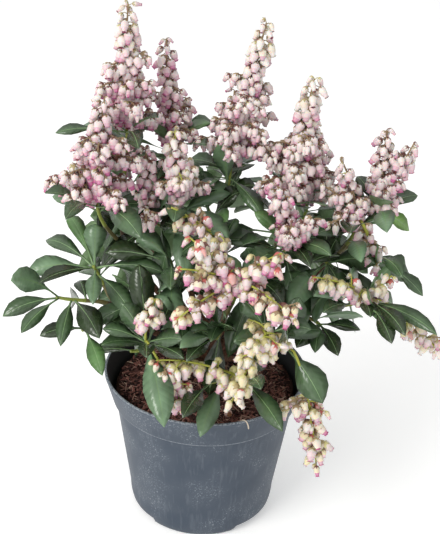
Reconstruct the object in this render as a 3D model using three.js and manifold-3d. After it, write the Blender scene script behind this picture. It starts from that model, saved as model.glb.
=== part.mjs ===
// A flowering pieris shrub in its nursery pot: a faceted construction model in millimetres, +Z up.
// The origin is the centre of the pot's flat underside. -Y is the front and +X is to its right.
//
// The pot is one thin-walled shell with a flared collar and three feet, filled with compost. A short trunk
// stands on the compost and carries one tapering bough for each mass of foliage. A mass is a stem that
// divides into shoots, each with a whorl of leaves below its tip. A panicle stands or hangs on a shoot's tip:
// racemes of drop-shaped flowers, larger and fewer than life. A leaf or flower that would touch another node
// is left out.

import * as THREE from "three";
import { mergeVertices } from "three/addons/utils/BufferGeometryUtils.js";
import Module from "manifold-3d";

const wasm = await Module();
wasm.setup();

// ---------------------------------------------------------------- driving dimensions, in mm and degrees

const POT = {
  height: 132,
  rimRadius: 85,
  collarHeight: 25,
  collarFootRadius: 78.2,
  collarStep: 2, // height of the slope below the collar
  lip: 0.8, // bevel round the rim
  bodyTopRadius: 75.4,
  bodyLowRadius: 62.9, // where the rounded lower edge begins
  bodyLowHeight: 20,
  footRadius: 56.4,
  wall: 1.6,
  floor: 2.5,
  ledgeRadius: 41, // inside this the floor lies low, outside it lies over the feet
  ledgeHeight: 9,
  segments: 28,
};
const FEET = { count: 3, gapDegrees: 50, gapHeight: 6.5, gapTurn: 55, innerRadius: 44 };
const COMPOST = {
  top: 115,
  edgeDrop: 3, // where it falls away along the wall
  bump: 2.2,
  flatRadius: 40, // level round the trunk's foot
  rings: [64, 46, 28, 0],
  slack: 0.6, // more room in the pot, whose wall has other facets
  segments: 20,
};
const TRUNK = {
  foot: [2, 8],
  top: [6, 12, 162],
  footRadius: 9,
  topRadius: 6,
  flare: 4.5, // added at the ground, dying out up the stem
  sides: 9,
  steps: 6,
};
const BOUGH = {
  footRadius: 3.1,
  tipRadius: 2.1,
  rise: 0.75, // how steeply it leaves the trunk
  lift: 0.25, // and how much it turns up at its end
  bend: 0.3, // how far each of these reaches along it
  seatStep: 0.05,
  sides: 4,
  steps: 4,
};
const SHOOT = {
  radius: 1.9,
  tipRadius: 1.3,
  stemLength: 9,
  stemSides: 4,
  rootAt: 0.7, // along the stem
  leave: 0.3, // how long it keeps the stem's way
  arrive: 0.35, // and its tip's own
};
const LEAF = {
  slimness: 0.37,
  thickness: 1.3,
  sag: 0.16,
  fold: 0.22,
  low: [0.32, 0.6], // place along the leaf and share of its half width
  high: [0.66, 1],
  ribAt: 0.5,
  neck: 5, // leaves of one shoot may meet this near to their roots
  neckWidth: 0.3,
};
// Where a leaf has no room it is tried at these turns and shares of its length, then left out.
const LEAF_TRIES = [
  [0, 1],
  [18, 0.94],
  [-18, 0.94],
  [34, 0.85],
  [-34, 0.85],
  [0, 0.7],
];
const LEAF_TIER = {
  below: 3, // the tip
  apart: 5.5,
  height: 2,
  twist: -50,
  upperOpen: 0.62,
  lowerOpen: 1.1,
  upperBlade: 0.84,
};
const RACEME = {
  radius: 1.2,
  tipRadius: 0.8,
  bareStart: 5,
  fork: 1.6, // between the roots of the main racemes
  mostRise: 9, // before a raceme bends towards its tip
  tierApart: 13,
  tierHeight: 2.6,
  twist: -60,
};
const SIDE_RACEME = {
  places: [0.36, 0.64], // down the stretch below a tier
  rise: 0.3,
  bow: 0.12,
  shortening: 0.4, // of the top ones
};
const FLOWER = {
  length: 12,
  belly: 4.7,
  bellyAt: 0.62,
  neckAt: 0.3,
  spread: 1.2, // how far it leans out as it hangs
  steepest: 0.4, // no flower grows on a face turned up more than this
};
const GAP = 0.3; // between one node and the next
const OWN_GAP = 0.1; // between one leaf or flower and the next of its node
const SHORT_EDGE = 0.1;
const ROOT_SHARE = 0.3; // of a twig's radius, where it springs from its stem
const TWIG_CORNERS = [30, 150, 270];

// A shoot: the place of its tip, the way the tip points, its tiers of leaves, their length, how far they open
// from the stem and the turn of the first about it.
const MOST_LEAF_TIERS = 3;
const shoot = (key, tip, aim, { tiers = MOST_LEAF_TIERS, blade = 50, open = 76, turn = 0 } = {}) => ({
  key,
  tip,
  aim,
  tiers,
  blade,
  open,
  turn,
});

// One bough and one mass each: where the bough ends and divides, how high on the trunk it starts, its shoots.
const MASSES = {
  left_upper: {
    fork: [-60, 4, 226],
    start: 152,
    shoots: [
      shoot("tall", [-67, 5, 338], [-0.05, 0, 1], { tiers: 3, turn: 25 }),
      shoot("front", [-87, -25, 288], [-0.1, -0.1, 1], { turn: 20, open: 82 }),
    ],
  },
  left_low: {
    fork: [-66, -18, 190],
    start: 138,
    shoots: [
      shoot("rosette", [-89, -34, 239], [-0.25, -0.6, 0.75], { tiers: 3, blade: 56, turn: 5 }),
      shoot("outer", [-118, -38, 213], [-0.85, -0.3, 0.4], { blade: 52, turn: 20, open: 70 }),
      shoot("under", [-96, -52, 192], [-0.5, -0.7, -0.1], { tiers: 2, turn: 40, open: 56 }),
    ],
  },
  left_centre: {
    fork: [-24, 17, 236],
    start: 162,
    shoots: [
      shoot("back", [-36, 37, 318], [-0.05, 0.1, 1], { tiers: 2, turn: 50 }),
      shoot("front", [-25, -10, 285], [0, -0.15, 1], { tiers: 3, turn: 0 }),
      shoot("left", [-46, 0, 268], [-0.2, -0.2, 1], { tiers: 2, turn: 30 }),
    ],
  },
  centre_left: {
    fork: [-22, -14, 198],
    start: 147,
    shoots: [
      shoot("upper", [-30, -28, 244], [-0.2, -0.45, 0.85], { turn: 10 }),
      shoot("lower", [-54, -36, 212], [-0.6, -0.6, 0.5], { tiers: 3, turn: 20, open: 70 }),
    ],
  },
  centre_back: {
    fork: [10, 27, 240],
    start: 164,
    shoots: [
      shoot("tall", [14, 25, 307], [0.1, 0, 1], { turn: 48, open: 80 }),
      shoot("low", [-3, 8, 268], [-0.2, -0.3, 1], { tiers: 2, turn: 20 }),
    ],
  },
  centre_right: {
    fork: [40, 0, 216],
    start: 159,
    shoots: [
      shoot("tall", [61, 20, 281], [0.1, 0.05, 1], { tiers: 3, turn: 30 }),
      shoot("front", [60, -22, 262], [0.05, -0.3, 1], { turn: 10, open: 84 }),
      shoot("low", [36, -36, 236], [-0.15, -0.6, 0.8], { tiers: 2, turn: 50 }),
    ],
  },
  right_upper: {
    fork: [90, 12, 222],
    start: 147,
    shoots: [
      shoot("outer", [131, 10, 279], [0.1, 0, 1], { tiers: 3, blade: 52, turn: 15 }),
      shoot("inner", [113, -4, 270], [0, -0.15, 1], { tiers: 2, turn: 0 }),
      shoot("side", [132, -8, 246], [0.8, -0.3, 0.5], { tiers: 2, turn: 10, open: 62 }),
      shoot("low", [92, -10, 240], [-0.1, -0.5, 0.8], { tiers: 3, turn: 30 }),
    ],
  },
  right_low: {
    fork: [70, -18, 188],
    start: 138,
    shoots: [
      shoot("whorl", [123, -36, 222], [0.6, -0.4, 0.6], { tiers: 3, turn: 0 }),
      shoot("under", [90, -32, 194], [0.3, -0.5, -0.2], { tiers: 2, turn: 30, open: 54 }),
    ],
  },
  front_left: {
    fork: [-32, -38, 168],
    start: 133,
    shoots: [
      shoot("rim", [-45, -72, 197], [-0.1, -0.6, 0.8], { tiers: 3, blade: 54, turn: 52, open: 84 }),
      shoot("side", [-70, -52, 172], [-0.8, -0.4, 0.25], { tiers: 2, turn: 40, open: 60 }),
    ],
  },
  front_centre: {
    fork: [12, -34, 192],
    start: 149,
    shoots: [
      shoot("spray", [22, -66, 243], [0, -0.5, 0.85], { tiers: 2, blade: 46, turn: 30, open: 84 }),
      shoot("high", [8, -28, 258], [0, -0.2, 1], { tiers: 2, blade: 46, turn: 20 }),
      shoot("low", [8, -62, 196], [-0.2, -0.8, 0.4], { tiers: 3, turn: 50, open: 70 }),
    ],
  },
  front_right: {
    fork: [36, -48, 174],
    start: 137,
    shoots: [
      shoot("left", [46, -80, 214], [0, -0.5, 0.8], { tiers: 2, turn: 35, open: 82 }),
      shoot("right", [63, -78, 200], [0.5, -0.6, 0.5], { tiers: 2, blade: 58, turn: 0, open: 70 }),
    ],
  },
  front_low: {
    fork: [14, -42, 146],
    start: 127,
    shoots: [
      shoot("left", [4, -66, 158], [-0.4, -0.8, 0.3], { tiers: 2, blade: 44, turn: 20, open: 62 }),
      shoot("right", [30, -70, 166], [0.4, -0.8, 0.4], { tiers: 2, blade: 46, turn: 0, open: 66 }),
    ],
  },
  back_left: {
    fork: [-42, 52, 200],
    start: 146,
    shoots: [
      shoot("tall", [-76, 66, 272], [-0.2, 0.2, 1], { turn: 20 }),
      shoot("low", [-78, 92, 222], [-0.5, 0.6, 0.5], { tiers: 3, turn: 10 }),
    ],
  },
  back: {
    fork: [6, 66, 214],
    start: 154,
    shoots: [
      shoot("tall", [12, 84, 284], [0, 0.2, 1]),
      shoot("low", [-8, 122, 236], [-0.1, 0.8, 0.5], { tiers: 3, turn: 20 }),
    ],
  },
  back_right: {
    fork: [54, 50, 198],
    start: 140,
    shoots: [
      shoot("tall", [80, 62, 260], [0.1, 0.2, 1], { turn: 30 }),
      shoot("low", [92, 92, 216], [0.6, 0.6, 0.45], { tiers: 3, turn: 0 }),
      shoot("side", [118, 46, 222], [0.8, 0.3, 0.4], { tiers: 3, turn: 20, open: 70 }),
    ],
  },
};

// One panicle: the mass and shoot it grows on, the ends of its main racemes, how far they arch, and the side
// racemes of the first one: how many, how long the lowest and its turn.
const panicle = (mass, key, tips, { arch = 8, sides = 0, reach = 20, turn = 0 } = {}) => ({
  mass,
  key,
  tips,
  arch,
  sides,
  reach,
  turn,
});

const PANICLES = {
  left_tall: panicle("left_upper", "tall", [[-66, 5, 432]], { arch: 4, sides: 6, reach: 33, turn: 20 }),
  left_front: panicle("left_upper", "front", [[-80, -25, 371]], { arch: 4, sides: 7, reach: 36, turn: 170 }),
  left_back: panicle("left_centre", "back", [[-40, 36, 400]], { arch: 3, sides: 4, reach: 22, turn: 330 }),
  left_inner: panicle("left_centre", "front", [[-29, -15, 345]], { arch: 3, sides: 4, reach: 24, turn: 10 }),
  left_small: panicle("left_centre", "left", [[-51, -8, 328], [-48, -42, 283]]),
  centre_tall: panicle("centre_back", "tall", [[35, 25, 418]], { arch: -6, sides: 7, reach: 31, turn: 195 }),
  right_tall: panicle("centre_right", "tall", [[69, 15, 379]], { arch: -3, sides: 7, reach: 33, turn: 215 }),
  right_front: panicle("centre_right", "front", [[46, -34, 316], [76, -52, 294], [56, -62, 276]]),
  right_slender: panicle("right_upper", "inner", [
    [84, -6, 303],
    [97, 2, 322],
    [92, -18, 277],
    [136, -24, 248],
  ]),
  right_outer: panicle("right_upper", "outer", [[136, 10, 342], [158, 5, 333]], {
    arch: 4,
    sides: 3,
    turn: 160,
  }),
  centre_arching: panicle("front_centre", "high", [[-30, -36, 292]], { arch: 10, sides: 1, turn: 240 }),
  centre_spray: panicle("front_centre", "spray", [
    [-14, -80, 288],
    [-20, -90, 268],
    [-21, -100, 232],
    [52, -84, 281],
    [61, -105, 241],
  ]),
  front_cascade: panicle("front_right", "left", [[22, -106, 159]], { arch: 14, sides: 3, turn: 190 }),
  front_drooping: panicle("front_right", "right", [[89, -97, 109]], { arch: 14, sides: 2, turn: 190 }),
  rim_spray: panicle("front_left", "rim", [[-42, -76, 236], [-16, -96, 158]]),
  rim_arching: panicle("front_low", "right", [[-36, -88, 190]]),
  right_low: panicle("right_low", "whorl", [[78, -56, 249], [139, -42, 246], [178, -60, 193]]),
  back_left: panicle("back_left", "tall", [[-86, 78, 358]], { arch: 4, sides: 6, reach: 30, turn: 60 }),
  back_left_low: panicle("back_left", "low", [[-106, 118, 250]], { sides: 2, turn: 60 }),
  back_tall: panicle("back", "tall", [[14, 92, 345]], { arch: 4, sides: 6, reach: 28, turn: 100 }),
  back_right: panicle("back_right", "tall", [[80, 68, 318]], { arch: 4, sides: 6, reach: 28, turn: 300 }),
  back_low: panicle("back_right", "low", [[118, 118, 238]], { sides: 2, turn: 20 }),
};

const COLOURS = {
  pot: { color: 0x4b5056, roughness: 0.55, metalness: 0 },
  compost: { color: 0x3a2a22, roughness: 0.95, metalness: 0 },
  bark: { color: 0x6b5140, roughness: 0.85, metalness: 0 },
  foliage: { color: 0x3d5c43, roughness: 0.45, metalness: 0 },
  blossom: { color: 0xeed7dd, roughness: 0.6, metalness: 0 },
};

// ---------------------------------------------------------------- small helpers

const UP = new THREE.Vector3(0, 0, 1);
const SIDEWAYS = new THREE.Vector3(1, 0, 0);
const GOLDEN_ANGLE = 137.508;
const vector = (p) => new THREE.Vector3(...p);
const radians = THREE.MathUtils.degToRad;
const unit = (v) => v.clone().normalize();
const along = (from, way, distance) => from.clone().addScaledVector(way, distance);

// A number from 0 to 1 that depends only on its two arguments.
function chance(seed, index) {
  const x = Math.sin(seed * 12.9898 + index * 78.233) * 43758.5453;
  return x - Math.floor(x);
}

// A factor near 1, up to `most` more or less.
const vary = (most, seed, index) => 1 + most * (2 * chance(seed, index) - 1);

// A unit vector square to axis: the part of `near` that isn't along it, turned about it by some degrees.
function squareTo(axis, near, degrees = 0) {
  const side = near.clone().addScaledVector(axis, -near.dot(axis));
  if (side.lengthSq() < 1e-6) side.set(0, -1, 0).addScaledVector(axis, axis.y);
  return side.normalize().applyAxisAngle(axis, radians(degrees));
}

// A closed geometry as a manifold-3d solid, turned to face outwards.
function solidOf(geometry) {
  const bare = geometry.index ? geometry.toNonIndexed() : geometry.clone();
  bare.deleteAttribute("normal");
  bare.deleteAttribute("uv");
  const merged = mergeVertices(bare, 1e-4);
  const triVerts = new Uint32Array(merged.index.array);
  const points = merged.attributes.position;
  let volume = 0;
  const [a, b, c] = [new THREE.Vector3(), new THREE.Vector3(), new THREE.Vector3()];
  for (let i = 0; i < triVerts.length; i += 3) {
    a.fromBufferAttribute(points, triVerts[i]);
    b.fromBufferAttribute(points, triVerts[i + 1]);
    c.fromBufferAttribute(points, triVerts[i + 2]);
    volume += a.dot(b.cross(c));
  }
  if (volume < 0)
    for (let i = 0; i < triVerts.length; i += 3)
      [triVerts[i + 1], triVerts[i + 2]] = [triVerts[i + 2], triVerts[i + 1]];
  return new wasm.Manifold(new wasm.Mesh({ numProp: 3, vertProperties: points.array, triVerts }));
}

// A solid as a three.js geometry.
function geometryOf(solid) {
  const { vertProperties, triVerts } = solid.getMesh();
  const geometry = new THREE.BufferGeometry();
  geometry.setAttribute("position", new THREE.BufferAttribute(vertProperties, 3));
  geometry.setIndex(new THREE.BufferAttribute(triVerts, 1));
  geometry.computeVertexNormals();
  return geometry;
}

// A geometry from a list of corner points and a list of faces of three corners.
function facets(corners, faces) {
  const geometry = new THREE.BufferGeometry();
  const numbers = corners.flatMap((p) => p.toArray());
  geometry.setAttribute("position", new THREE.Float32BufferAttribute(numbers, 3));
  geometry.setIndex(faces.flat());
  return geometry;
}

// The same solid without the edges shorter than `least` that cuts leave: each is closed up to one of its
// corners, unless that would pinch the surface.
function withoutShortEdges(solid, least) {
  const { vertProperties, triVerts } = solid.getMesh();
  const point = (i) => new THREE.Vector3().fromArray(vertProperties, 3 * i);
  const beside = new Map(); // each corner's neighbours
  const edges = [];
  triVerts.forEach((a, i) => {
    const b = triVerts[i % 3 === 2 ? i - 2 : i + 1];
    if (!beside.has(a)) beside.set(a, new Set());
    beside.get(a).add(b);
    if (a < b && point(a).distanceTo(point(b)) < least) edges.push([a, b]);
  });
  const gone = new Map();
  const corner = (i) => (gone.has(i) ? corner(gone.get(i)) : i);
  for (const [a, b] of edges.map((edge) => edge.map(corner))) {
    if (a === b || [...beside.get(a)].filter((other) => beside.get(b).has(other)).length !== 2) continue;
    gone.set(b, a);
    for (const other of beside.get(b)) {
      beside.get(other).delete(b);
      if (other !== a) {
        beside.get(other).add(a);
        beside.get(a).add(other);
      }
    }
  }
  const faces = [];
  for (let i = 0; i < triVerts.length; i += 3) {
    const face = [0, 1, 2].map((k) => corner(triVerts[i + k]));
    if (new Set(face).size === 3) faces.push(face);
  }
  const geometry = new THREE.BufferGeometry();
  geometry.setAttribute("position", new THREE.BufferAttribute(vertProperties, 3));
  geometry.setIndex(faces.flat());
  return solidOf(geometry);
}

// The pieces joined into one body: a sealed hollow is filled and a loose scrap is dropped.
function fuse(pieces) {
  const bodies = wasm.Manifold.union(pieces).decompose();
  const body = bodies.reduce((best, other) => (other.volume() > best.volume() ? other : best));
  return withoutShortEdges(body, SHORT_EDGE);
}

// ---------------------------------------------------------------- nodes and the clearance between them

const plant = new THREE.Group();
const nodes = new Map(); // each node's solids, to be fused
const taken = []; // the space that is taken: a node, the part of it, a solid and its box
const clashes = [];

function boxOf(solid) {
  const { min, max } = solid.boundingBox();
  return new THREE.Box3(vector(min), vector(max));
}

function keep(node, solid) {
  if (!nodes.has(node)) nodes.set(node, []);
  nodes.get(node).push(solid);
}

const take = (node, part, solid) => taken.push({ node, part, solid, box: boxOf(solid) });

// The pieces of other nodes that the solid comes nearer to than GAP.
function touched(node, solid) {
  const box = boxOf(solid).expandByScalar(GAP);
  return taken
    .filter((other) => other.node !== node && box.intersectsBox(other.box))
    .filter((other) => solid.minGap(other.solid, 2 * GAP) < GAP * 0.9);
}

// True if a piece is clear of the other nodes and parts and, past its root, of the part that it grows on.
function hasRoom(node, part, whole, free) {
  const box = boxOf(whole);
  return (
    !touched(node, whole).length &&
    taken
      .filter((other) => other.node === node && box.intersectsBox(other.box))
      .every((other) => (other.part === part ? free : whole).minGap(other.solid, 1) > OWN_GAP)
  );
}

// Takes the space of a leaf or flower and returns true, unless it has no room.
function takeIfRoom(node, part, whole, free) {
  const room = hasRoom(node, part, whole, free);
  if (room) take(node, part, whole);
  return room;
}

// A piece that the plant can't do without.
function build(node, solid, label = "limb") {
  clashes.push(...touched(node, solid).map((other) => `${node} ${label} touches ${other.node}`));
  take(node, label, solid);
  keep(node, solid);
}

// ---------------------------------------------------------------- pot and compost

// A profile of [radius, height] points, turned about the Z axis.
function turned(profile, segments) {
  const points = profile.map(([r, z]) => new THREE.Vector2(r, z));
  return new THREE.LatheGeometry(points, segments).rotateX(Math.PI / 2);
}

const shoulder = POT.height - POT.collarHeight;

// The rounded lower edge: a quarter ellipse from the foot up to the straight wall.
function lowerEdge(count) {
  return Array.from({ length: count }, (_, i) => {
    const angle = (Math.PI / 2) * (i / (count - 1));
    const radius = POT.footRadius + (POT.bodyLowRadius - POT.footRadius) * Math.sin(angle);
    return [radius, POT.bodyLowHeight * (1 - Math.cos(angle))];
  });
}

function pot() {
  const outside = [
    [0, 0],
    ...lowerEdge(3),
    [POT.bodyTopRadius, shoulder - POT.collarStep],
    [POT.collarFootRadius, shoulder],
    [POT.rimRadius, POT.height - POT.lip],
    [POT.rimRadius - POT.lip, POT.height],
  ];
  const inside = [
    [POT.rimRadius - POT.wall, POT.height],
    [POT.collarFootRadius - POT.wall, shoulder + POT.wall / 2],
    [POT.bodyTopRadius - POT.wall, shoulder - POT.collarStep],
    [POT.bodyLowRadius - POT.wall, POT.bodyLowHeight],
    [POT.footRadius + 1, POT.ledgeHeight],
    [POT.ledgeRadius, POT.ledgeHeight],
    [POT.ledgeRadius - POT.wall, POT.floor],
    [0, POT.floor],
  ];
  let shell = solidOf(turned([...outside, ...inside], POT.segments));
  for (let i = 0; i < FEET.count; i++) shell = shell.subtract(solidOf(footGap(i)));
  build("pot", shell);
}

// The space between two feet: a sector of a ring, cut up into the pot's lower edge.
function footGap(index) {
  const middle = FEET.gapTurn - 90 + (index * 360) / FEET.count;
  const [from, to] = [radians(middle - FEET.gapDegrees / 2), radians(middle + FEET.gapDegrees / 2)];
  const sector = new THREE.Shape();
  sector.absarc(0, 0, POT.rimRadius, from, to, false);
  sector.absarc(0, 0, FEET.innerRadius, to, from, true);
  const below = 2;
  return new THREE.ExtrudeGeometry(sector, {
    depth: FEET.gapHeight + below,
    bevelEnabled: false,
    curveSegments: 4,
  }).translate(0, 0, -below);
}

function compost() {
  const clear = GAP + COMPOST.slack;
  const inset = POT.wall + clear;
  const profile = [
    [0, POT.floor + GAP],
    [POT.ledgeRadius - inset, POT.floor + GAP],
    [POT.ledgeRadius - clear, POT.ledgeHeight + GAP],
    [POT.footRadius, POT.ledgeHeight + GAP],
    [POT.bodyLowRadius - inset, POT.bodyLowHeight],
    [POT.bodyTopRadius - inset, shoulder - POT.collarStep],
    [POT.collarFootRadius - inset, shoulder + POT.wall],
    [POT.collarFootRadius - inset, COMPOST.top - COMPOST.edgeDrop],
    ...COMPOST.rings.map((radius) => [radius, COMPOST.top]),
  ];
  const geometry = turned(profile, COMPOST.segments);
  const points = geometry.attributes.position;
  for (let i = 0; i < points.count; i++) {
    const [x, y, z] = [points.getX(i), points.getY(i), points.getZ(i)];
    const fromTrunk = Math.hypot(x - TRUNK.foot[0], y - TRUNK.foot[1]);
    if (z < COMPOST.top - 0.01 || fromTrunk < COMPOST.flatRadius) continue;
    points.setZ(i, z + COMPOST.bump * Math.sin(x / 5 + 1) * Math.cos(y / 6));
  }
  build("compost", solidOf(geometry));
}

// ---------------------------------------------------------------- stems

// A closed tapering tube along a curve. radiusAt gives the radius from 0 at its start to 1 at its end.
function limb(curve, radiusAt, sides, steps) {
  const { normals, binormals } = curve.computeFrenetFrames(steps, false);
  const corners = [];
  for (let i = 0; i <= steps; i++) {
    const centre = curve.getPointAt(i / steps);
    for (let k = 0; k < sides; k++) {
      const angle = (2 * Math.PI * k) / sides;
      const radius = radiusAt(i / steps);
      corners.push(
        centre
          .clone()
          .addScaledVector(normals[i], radius * Math.cos(angle))
          .addScaledVector(binormals[i], radius * Math.sin(angle)),
      );
    }
  }
  const faces = [];
  for (let i = 0; i < steps; i++)
    for (let k = 0; k < sides; k++) {
      const [a, b] = [i * sides + k, i * sides + ((k + 1) % sides)];
      faces.push([a, b, b + sides], [a, b + sides, a + sides]);
    }
  const last = steps * sides;
  for (let k = 1; k < sides - 1; k++) faces.push([0, k + 1, k], [last, last + k, last + k + 1]);
  return solidOf(facets(corners, faces));
}

const tapering = (from, to) => (t) => from + (to - from) * t;

// The same, with a thin root, so that the first ring lies inside the stem that the twig springs from.
const rooted = (from, to) => (t) => (t === 0 ? from * ROOT_SHARE : tapering(from, to)(t));

const trunkCurve = new THREE.QuadraticBezierCurve3(
  new THREE.Vector3(...TRUNK.foot, COMPOST.top + GAP),
  new THREE.Vector3(...TRUNK.foot, (COMPOST.top + TRUNK.top[2]) / 2),
  vector(TRUNK.top),
);
const trunkRadiusAt = (t) => tapering(TRUNK.footRadius, TRUNK.topRadius)(t) + TRUNK.flare * Math.exp(-9 * t);

const trunk = limb(trunkCurve, trunkRadiusAt, TRUNK.sides, TRUNK.steps);

// A bough springs from the trunk's side towards its fork and bends upwards on the way. Its foot's centre lies
// `out` from the trunk's.
function boughCurve({ fork, start }, out) {
  const end = vector(fork);
  const t = THREE.MathUtils.clamp((start - COMPOST.top) / (TRUNK.top[2] - COMPOST.top), 0, 1);
  const centre = trunkCurve.getPoint(t);
  const outward = end.clone().sub(centre).setZ(0).normalize();
  const foot = along(centre, outward, out);
  const span = foot.distanceTo(end);
  const rising = unit(outward.clone().addScaledVector(UP, BOUGH.rise));
  const arriving = unit(end.clone().sub(foot).addScaledVector(UP, span * BOUGH.lift));
  const reach = span * BOUGH.bend;
  return new THREE.CubicBezierCurve3(foot, along(foot, rising, reach), along(end, arriving, -reach), end);
}

// The bough of a mass, its foot as near to the trunk's side as GAP allows.
function seatedBough(mass) {
  const radiusAt = tapering(BOUGH.footRadius, BOUGH.tipRadius);
  for (let out = TRUNK.topRadius; ; out += BOUGH.seatStep) {
    const curve = boughCurve(mass, out);
    const solid = limb(curve, radiusAt, BOUGH.sides, BOUGH.steps);
    if (solid.minGap(trunk, 2 * GAP) >= GAP) return { curve, solid };
  }
}

const boughs = new Map(Object.values(MASSES).map((mass) => [mass, seatedBough(mass)]));

// ---------------------------------------------------------------- twigs that leaves and flowers grow out of

// A list of faces, each of three corner points, as a solid.
function solidFrom(faces) {
  return solidOf(facets(faces.flat(), faces.map((_, i) => [3 * i, 3 * i + 1, 3 * i + 2])));
}

const quad = ([a, b, c, d]) => [
  [a, b, c],
  [a, c, d],
];

// A three-sided twig as rings of corners: one at each end and a pair for each tier that something grows in.
// A tier is { top, height, turn }, with distances along the curve.
function twigRings(curve, radiusAt, tiers, extra = []) {
  const length = curve.getLength();
  const [first, last] = [curve.getTangentAt(0), curve.getTangentAt(1)];
  const bend = new THREE.Vector3().crossVectors(first, last);
  const across = bend.length() > 0.05 ? bend.normalize() : squareTo(first, SIDEWAYS);
  const ring = (distance, turn, tier = null) => {
    const t = THREE.MathUtils.clamp(distance / length, 0, 1);
    const [centre, axis] = [curve.getPointAt(t), curve.getTangentAt(t)];
    const corners = TWIG_CORNERS.map((angle) =>
      along(centre, squareTo(axis, across, angle + turn), radiusAt(t)),
    );
    return { corners, tier, axis };
  };
  const rings = [ring(0, 0), ...extra.map((distance) => ring(distance, 0))];
  for (const tier of tiers) {
    rings.push(ring(tier.top - tier.height, tier.turn));
    rings.push(ring(tier.top, tier.turn, tier));
  }
  if (tiers.at(-1).top < length) rings.push(ring(length, tiers.at(-1).turn));
  return rings;
}

// The twig's faces. On each side of a tier `grow` may put other faces in place of the flat one.
function twigFaces(rings, grow = () => null) {
  const [from, to] = [rings[0].corners, rings.at(-1).corners];
  const faces = [[from[2], from[1], from[0]], to];
  for (let i = 1; i < rings.length; i++)
    for (const k of [0, 1, 2]) {
      const [low, high] = [rings[i - 1].corners, rings[i].corners];
      const face = [low[k], low[(k + 1) % 3], high[(k + 1) % 3], high[k]];
      const grown = rings[i].tier && grow(face, rings[i], k);
      faces.push(...(grown ?? quad(face)));
    }
  return faces;
}

const flipped = ([a, b, c]) => [c, b, a];
const closedBy = (faces, face) => solidFrom([...faces, ...quad(face).map(flipped)]);
const middleOf = (points) =>
  points.reduce((sum, p) => sum.add(p), new THREE.Vector3()).divideScalar(points.length);
const outwardOf = ([a, b, , d]) =>
  unit(new THREE.Vector3().crossVectors(b.clone().sub(a), d.clone().sub(a)));

// ---------------------------------------------------------------- leaves

// The faces of a leaf that grows out of a four-cornered face of its twig, the lower two corners first. It is
// a thin folded blade: two shoulders on each side, a tip, and a point on its midrib above and below.
function leafFaces([lowLeft, lowRight, highRight, highLeft], way, axis, length) {
  const root = middleOf([lowLeft, lowRight, highRight, highLeft]);
  const right = unit(lowRight.clone().sub(lowLeft));
  const side = squareTo(way, right);
  const over = new THREE.Vector3().crossVectors(way, side).multiplyScalar(-1);
  if (over.dot(axis) < 0) over.negate();
  const halfWidth = (length * LEAF.slimness) / 2;
  const spot = (t, across, lift) =>
    along(root, way, length * t)
      .addScaledVector(UP, -LEAF.sag * length * t * t)
      .addScaledVector(side, across * halfWidth)
      .addScaledVector(over, lift);
  const shoulderOf = ([at, width], hand) => spot(at, hand * width, halfWidth * LEAF.fold);
  const rightSide = [shoulderOf(LEAF.low, 1), shoulderOf(LEAF.high, 1)];
  const leftSide = [shoulderOf(LEAF.high, -1), shoulderOf(LEAF.low, -1)];
  const above = spot(LEAF.ribAt, 0, LEAF.thickness / 2);
  const below = spot(LEAF.ribAt, 0, -LEAF.thickness / 2);
  const round = [...rightSide, spot(1, 0, 0), ...leftSide];
  const faces = [];
  for (let k = 0; k + 1 < round.length; k++)
    faces.push([above, round[k + 1], round[k]], [below, round[k], round[k + 1]]);
  faces.push([above, round[0], highRight], [below, lowRight, round[0]], [round[0], lowRight, highRight]);
  faces.push([above, highLeft, round[4]], [below, round[4], lowLeft], [round[4], highLeft, lowLeft]);
  faces.push([above, highRight, highLeft], [below, lowLeft, lowRight]);
  return faces;
}

// A leaf with room for it, or null. It is tried at a few turns and lengths.
function growLeaf(node, part, face, axis, { open, length }) {
  const outward = outwardOf(face);
  const root = middleOf(face);
  for (const [nudge, share] of LEAF_TRIES) {
    const around = squareTo(axis, outward, nudge);
    const way = squareTo(new THREE.Vector3().crossVectors(axis, around), axis, open);
    const faces = leafFaces(face, way, axis, length * share);
    const shrunk = face.map((corner) =>
      along(root.clone().lerp(corner, LEAF.neckWidth), way, LEAF.neck),
    );
    const free = leafFaces(shrunk, way, axis, length * share - LEAF.neck);
    if (takeIfRoom(node, part, closedBy(faces, face), closedBy(free, shrunk))) return faces;
  }
  return null;
}

// ---------------------------------------------------------------- masses

const massStem = (mass) => {
  const bough = boughs.get(mass).curve;
  const way = bough.getTangentAt(1);
  const start = along(bough.getPointAt(1), way, GAP);
  return new THREE.LineCurve3(start, along(start, way, SHOOT.stemLength));
};

// A shoot bends from the stem at its mass's fork to its own tip, where it points along `aim`.
function shootCurve(mass, { tip, aim }) {
  const stem = massStem(mass);
  const from = stem.getPointAt(SHOOT.rootAt);
  const end = vector(tip);
  const span = from.distanceTo(end);
  return new THREE.CubicBezierCurve3(
    from,
    along(from, stem.getTangentAt(1), span * SHOOT.leave),
    along(end, unit(vector(aim)), -span * SHOOT.arrive),
    end,
  );
}

// A shoot's leaves stand in tiers of three below its tip, the lower ones longer and opened wider.
function shootRings(mass, spec) {
  const curve = shootCurve(mass, spec);
  const length = curve.getLength();
  const tiers = [];
  for (let i = spec.tiers - 1; i >= 0; i--)
    tiers.push({
      index: i,
      top: length - LEAF_TIER.below - i * LEAF_TIER.apart,
      height: LEAF_TIER.height,
      turn: spec.turn + LEAF_TIER.twist * i,
    });
  const extra = [SHOOT.stemLength, tiers[0].top / 2];
  return twigRings(curve, rooted(SHOOT.radius, SHOOT.tipRadius), tiers, extra);
}

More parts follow.
